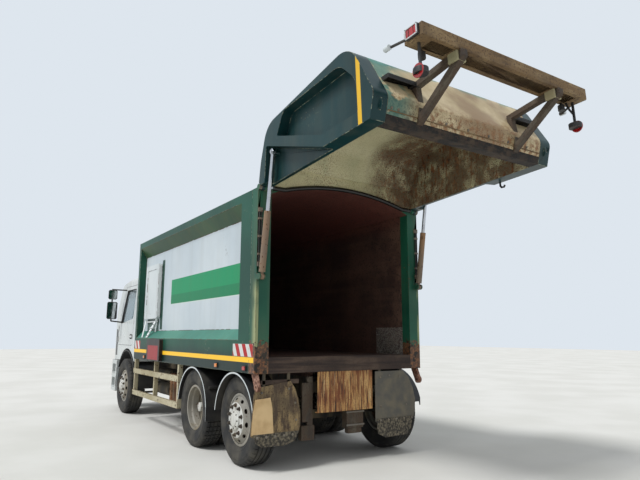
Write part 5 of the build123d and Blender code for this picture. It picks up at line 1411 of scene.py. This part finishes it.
for y in (-0.85, -0.55, -0.25, 0.05, 0.35, 0.95, 1.03):
    bolt(form, on_gate(2.155, 0.145, y), GATE_DOWN, 0.022, 4)
strip = ((0.112, 1.072), (0.122, 1.072), (0.122, -1.072), (0.112, -1.072))
plate(form, [on_gate(2.158, out, y) for out, y in strip], GATE_DOWN * 0.004, 8, 0.001)
turned(form, on_gate(2.12, 0.17, -1.16), on_gate(2.12, 0.27, -1.16), 0.052, 0, 24, 0.008)
hook = ((1.50, 0.02), (1.50, -0.04), (1.515, -0.062), (1.55, -0.066), (1.565, -0.045))
hose(form, [on_gate(down, out, -1.215) for down, out in hook], 0.012, 0)
as_piece("tailgate_fittings", form, "tailgate", gate_finishes)
print("tailgate fittings on")

# %% [markdown]
# Along the sides the photograph shows a white ladder that leans out over the ledge under the
# hatch, and small marker lamps on the wall's foot, whose dark colour is painted shade for the
# shadowed recess under the body. The same lamps stand on the right side, as such trucks have
# them in pairs. The ladder has two flat legs; one has a row of dark slots.

# %% Fittings along the body
fitting_finishes = [white_and_highlight, seal_rubber, lamp_amber, lamp_red, nut_steel, guard_paint, gate_green]
form = bmesh.new()
for top, foot, wide in ((3.975, 4.225, 0.085), (4.605, 4.515, 0.05)):
    leg = [at(top, 1.150, 1.778), at(top + wide, 1.150, 1.778), at(foot + wide, 1.238, 1.462),
           at(foot, 1.238, 1.462)]
    plate(form, leg, (0.0, 0.012, 0.004), 0, 0.002)
for step in range(5):
    share = (step + 0.5) / 5
    x = 3.975 + 0.25 * share + 0.0425
    y, z = 1.150 + 0.088 * share + 0.0125, 1.778 - 0.316 * share
    block(form, at(x - 0.022, y - 0.002, z - 0.010), at(x + 0.022, y + 0.003, z + 0.010), 1, 0.001)
block(form, at(3.98, 1.146, 1.728), at(4.64, 1.156, 1.752), 0, 0.002)
for side in (1.0, -1.0):
    for x, lens_finish in ((1.07, 2), (0.25, 3), (4.30, 2)):
        for near, far, half, rise, finish, width in ((1.2495, 1.262, 0.045, 0.032, 1, 0.003),
                                                     (1.255, 1.272, 0.034, 0.022, lens_finish, 0.006)):
            low, high = sorted((near * side, far * side))
            block(form, at(x - half, low, 1.13 - rise), at(x + half, high, 1.13 + rise), finish, width)
    for x in (2.56, 3.40, 4.24, 4.90):
        for z in (0.505, 0.855):
            bolt(form, at(x, 1.2495 * side, z - 0.02), (0, side, 0), 0.016, 4)
as_piece("side_fittings", form, "chassis", fitting_finishes)
print("side fittings on")

# %% [markdown]
# ## The cab's small pieces
# Rubber runs round every pane. Its path is taken from the pane itself: the outline of its
# largest face. The wipers lie along the foot of the windscreen, whose place and slope are
# named first, so that each point of a wiper is given by its height on the glass alone.

# %% Window rubbers, wipers and lamp rings
SCREEN_FOOT_X, SCREEN_FOOT_Z, SCREEN_LEAN = 7.031, 1.66, 0.358


def pane_outline(node, direction):
    """The corners of a pane's largest face that looks along a direction."""
    form = node_form(node)
    outward = [face for face in form.faces if face.normal.dot(Vector(direction)) > 0.5]
    pane = max(outward, key=lambda face: face.calc_area())
    points = [vert.co.copy() for vert in pane.verts]
    form.free()
    return points


def pane_rubber(node, direction):
    form = bmesh.new()
    points = pane_outline(node, direction)
    middle = sum(points, Vector()) / len(points)
    start = (points[0] + points[-1]) / 2
    hose(form, [start] + points + [start], 0.007, 0, 8)
    print(node, "rubber round", [round(value, 2) for value in middle])
    return as_piece(node + "_rubber", form, frame["nodes"][node]["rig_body"], [seal_rubber])


for side, outward in (("left", 1.0), ("right", -1.0)):
    pane_rubber("door_glass_" + side, (0.0, outward, 0.0))
pane_rubber("windscreen", (1.0, 0.0, 0.0))


def on_screen(y, z, lift=0.014):
    return at(SCREEN_FOOT_X - (z - SCREEN_FOOT_Z) * SCREEN_LEAN + lift, y, z)


form = bmesh.new()
for y in (0.62, -0.10):
    turned(form, on_screen(y, 1.645, 0.0), on_screen(y, 1.645, 0.030), 0.017, 0, 16, 0.003)
    arm = ((y, 1.645, 0.024), (y - 0.10, 1.675, 0.026), (y - 0.27, 1.712, 0.022))
    blade = ((y + 0.02, 1.690), (y - 0.27, 1.706), (y - 0.56, 1.722))
    hose(form, [on_screen(*point) for point in arm], 0.006, 0, 8)
    hose(form, [on_screen(*point) for point in blade], 0.008, 0, 8)
as_piece("wipers", form, "chassis", [seal_rubber])
form = bmesh.new()
for side in (1.0, -1.0):
    for y in (0.79, 0.97):
        turned(form, at(7.150, y * side, 0.66), at(7.1985, y * side, 0.66), 0.078, 0, 32, 0.006)
        turned(form, at(7.150, y * side, 0.66), at(7.1995, y * side, 0.66), 0.062, 1, 32, 0.004)
as_piece("lamp_rings", form, "chassis", [chrome, lamp_clear])
print("cab fittings on")

# %% [markdown]
# The seats are soft, so they get forms of their own. A cushion starts as a box that is divided
# into a grid and smoothed, which crowns its faces and pulls its sides in between the corners;
# it is then stretched back to its size and subdivided. A groove along each side of its top
# stands for the seam. The dashboard and the steering wheel keep their CAD shape.

# %% Seats and dashboard
SEAT_FLOOR = 1.295
SEAT_TOP = 1.635


def crowned(name, middle, size, lean):
    """A padded block with a groove, like a seam, along each side of its top."""
    form = bmesh.new()
    bmesh.ops.create_cube(form, size=1.0)
    bmesh.ops.subdivide_edges(form, edges=form.edges[:], cuts=7, use_grid_fill=True)
    for _ in range(6):
        bmesh.ops.smooth_vert(
            form, verts=form.verts, factor=0.5, use_axis_x=True, use_axis_y=True, use_axis_z=True,
        )
    reach = [max(vert.co[axis] for vert in form.verts) * 2 for axis in range(3)]
    bmesh.ops.scale(form, vec=[size[axis] / reach[axis] for axis in range(3)], verts=form.verts)
    for vert in form.verts:
        rim = abs(abs(vert.co.y) / size[1] - 0.34)
        vert.co.z -= 0.010 * max(0.0, 1.0 - rim / 0.05) if vert.co.z > 0.0 else 0.0
    turn = Matrix.Rotation(lean, 4, "Y")
    bmesh.ops.transform(form, matrix=Matrix.Translation(middle) @ turn, verts=form.verts)
    piece = as_piece(name, form, "chassis", [seat_cloth])
    soft = piece.modifiers.new("soft", "SUBSURF")
    soft.levels = soft.render_levels = 1
    return piece


form = node_form("cab_interior")
seat_verts = [vert for vert in form.verts if vert.co.x < REAR + 6.1]
bmesh.ops.delete(form, geom=seat_verts, context="VERTS")
for face in form.faces:
    face.material_index = 1 if face.calc_center_median().x < REAR + 6.55 else 0
round_edges(form, 0.004)
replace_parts(as_piece("dashboard", form, "chassis", [cab_trim, black_plastic]), "cab_interior")
form = bmesh.new()
for y in (0.56, -0.56):
    block(form, at(5.66, y - 0.14, SEAT_FLOOR + 0.002), at(5.92, y + 0.14, SEAT_TOP - 0.16), 0, 0.012)
    block(form, at(5.63, y - 0.20, SEAT_TOP - 0.17), at(6.02, y + 0.20, SEAT_TOP - 0.125), 0, 0.010)
    side = "left" if y > 0 else "right"
    crowned("seat_cushion_" + side, at(5.83, y, SEAT_TOP - 0.06), (0.50, 0.47, 0.15), 0.03)
    crowned("seat_back_" + side, at(5.585, y, SEAT_TOP + 0.225), (0.13, 0.46, 0.52), -0.11)
    crowned("seat_head_" + side, at(5.535, y, SEAT_TOP + 0.56), (0.10, 0.30, 0.17), -0.11)
    for post_y in (y - 0.07, y + 0.07):
        turned(form, at(5.552, post_y, SEAT_TOP + 0.42), at(5.540, post_y, SEAT_TOP + 0.53), 0.007, 1, 12)
as_piece("seat_frames", form, "chassis", [black_plastic, chrome])
print("seats and dashboard in")

# %% [markdown]
# A CAD node that a finished piece replaces is hidden. Any node that still shows would be a
# piece without a finish, so the list below should be empty.

# %% Nodes that are still bare
bare = sorted(node for node in frame["nodes"] if not frame["nodes"][node].hide_render)
print("nodes without a finish", bare)

# %% [markdown]
# ## Floor, light and background
# The truck stands on a pale floor under soft light: a wide sun high on the left and the pale
# sky of the world. What the camera sees behind the truck, also mirrored in chrome or through
# glass, is another colour that lights no paint: Light Path tells such rays from the rest.

# %% Floor, light and background
floor_form = bmesh.new()
bmesh.ops.create_grid(floor_form, x_segments=2, y_segments=2, size=60.0)
floor_mesh = bpy.data.meshes.new("floor")
floor_form.to_mesh(floor_mesh)
floor_form.free()
floor = bpy.data.objects.new("floor", floor_mesh)
show(floor)
floor_finish = Finish("floor_pale", 0.9)
floor_mesh.materials.append(floor_finish.done(
    floor_finish.mix(floor_finish.cloud(0.6), (206, 205, 199), (214, 213, 208)),
))

sun = bpy.data.objects.new("soft_sun", bpy.data.lights.new("soft_sun", "SUN"))
sun.data.energy = 2.3
sun.data.angle = math.radians(14.0)
SUN_STANDS = Vector((-0.05, 0.56, 0.82))
sun.rotation_euler = SUN_STANDS.to_track_quat("Z", "Y").to_euler()
show(sun)

world = bpy.data.worlds.new("studio")
bpy.context.scene.world = world
world.use_nodes = True
nodes, links = world.node_tree.nodes, world.node_tree.links
nodes.clear()
output = nodes.new("ShaderNodeOutputWorld")
light = nodes.new("ShaderNodeBackground")
light.inputs["Color"].default_value = (0.93, 0.96, 1.0, 1.0)
light.inputs["Strength"].default_value = 0.66
seen = nodes.new("ShaderNodeBackground")
seen.inputs["Color"].default_value = shade(222, 230, 238)
seen.inputs["Strength"].default_value = 1.0
rays = nodes.new("ShaderNodeLightPath")
shown = rays.outputs["Is Camera Ray"]
for kind in ("Is Glossy Ray", "Is Transmission Ray"):
    larger = nodes.new("ShaderNodeMath")
    larger.operation = "MAXIMUM"
    links.new(shown, larger.inputs[0])
    links.new(rays.outputs[kind], larger.inputs[1])
    shown = larger.outputs[0]
choice = nodes.new("ShaderNodeMixShader")
links.new(shown, choice.inputs[0])
links.new(light.outputs[0], choice.inputs[1])
links.new(seen.outputs[0], choice.inputs[2])
links.new(choice.outputs[0], output.inputs[0])
bpy.context.scene.view_settings.view_transform = "Standard"
print("lit")
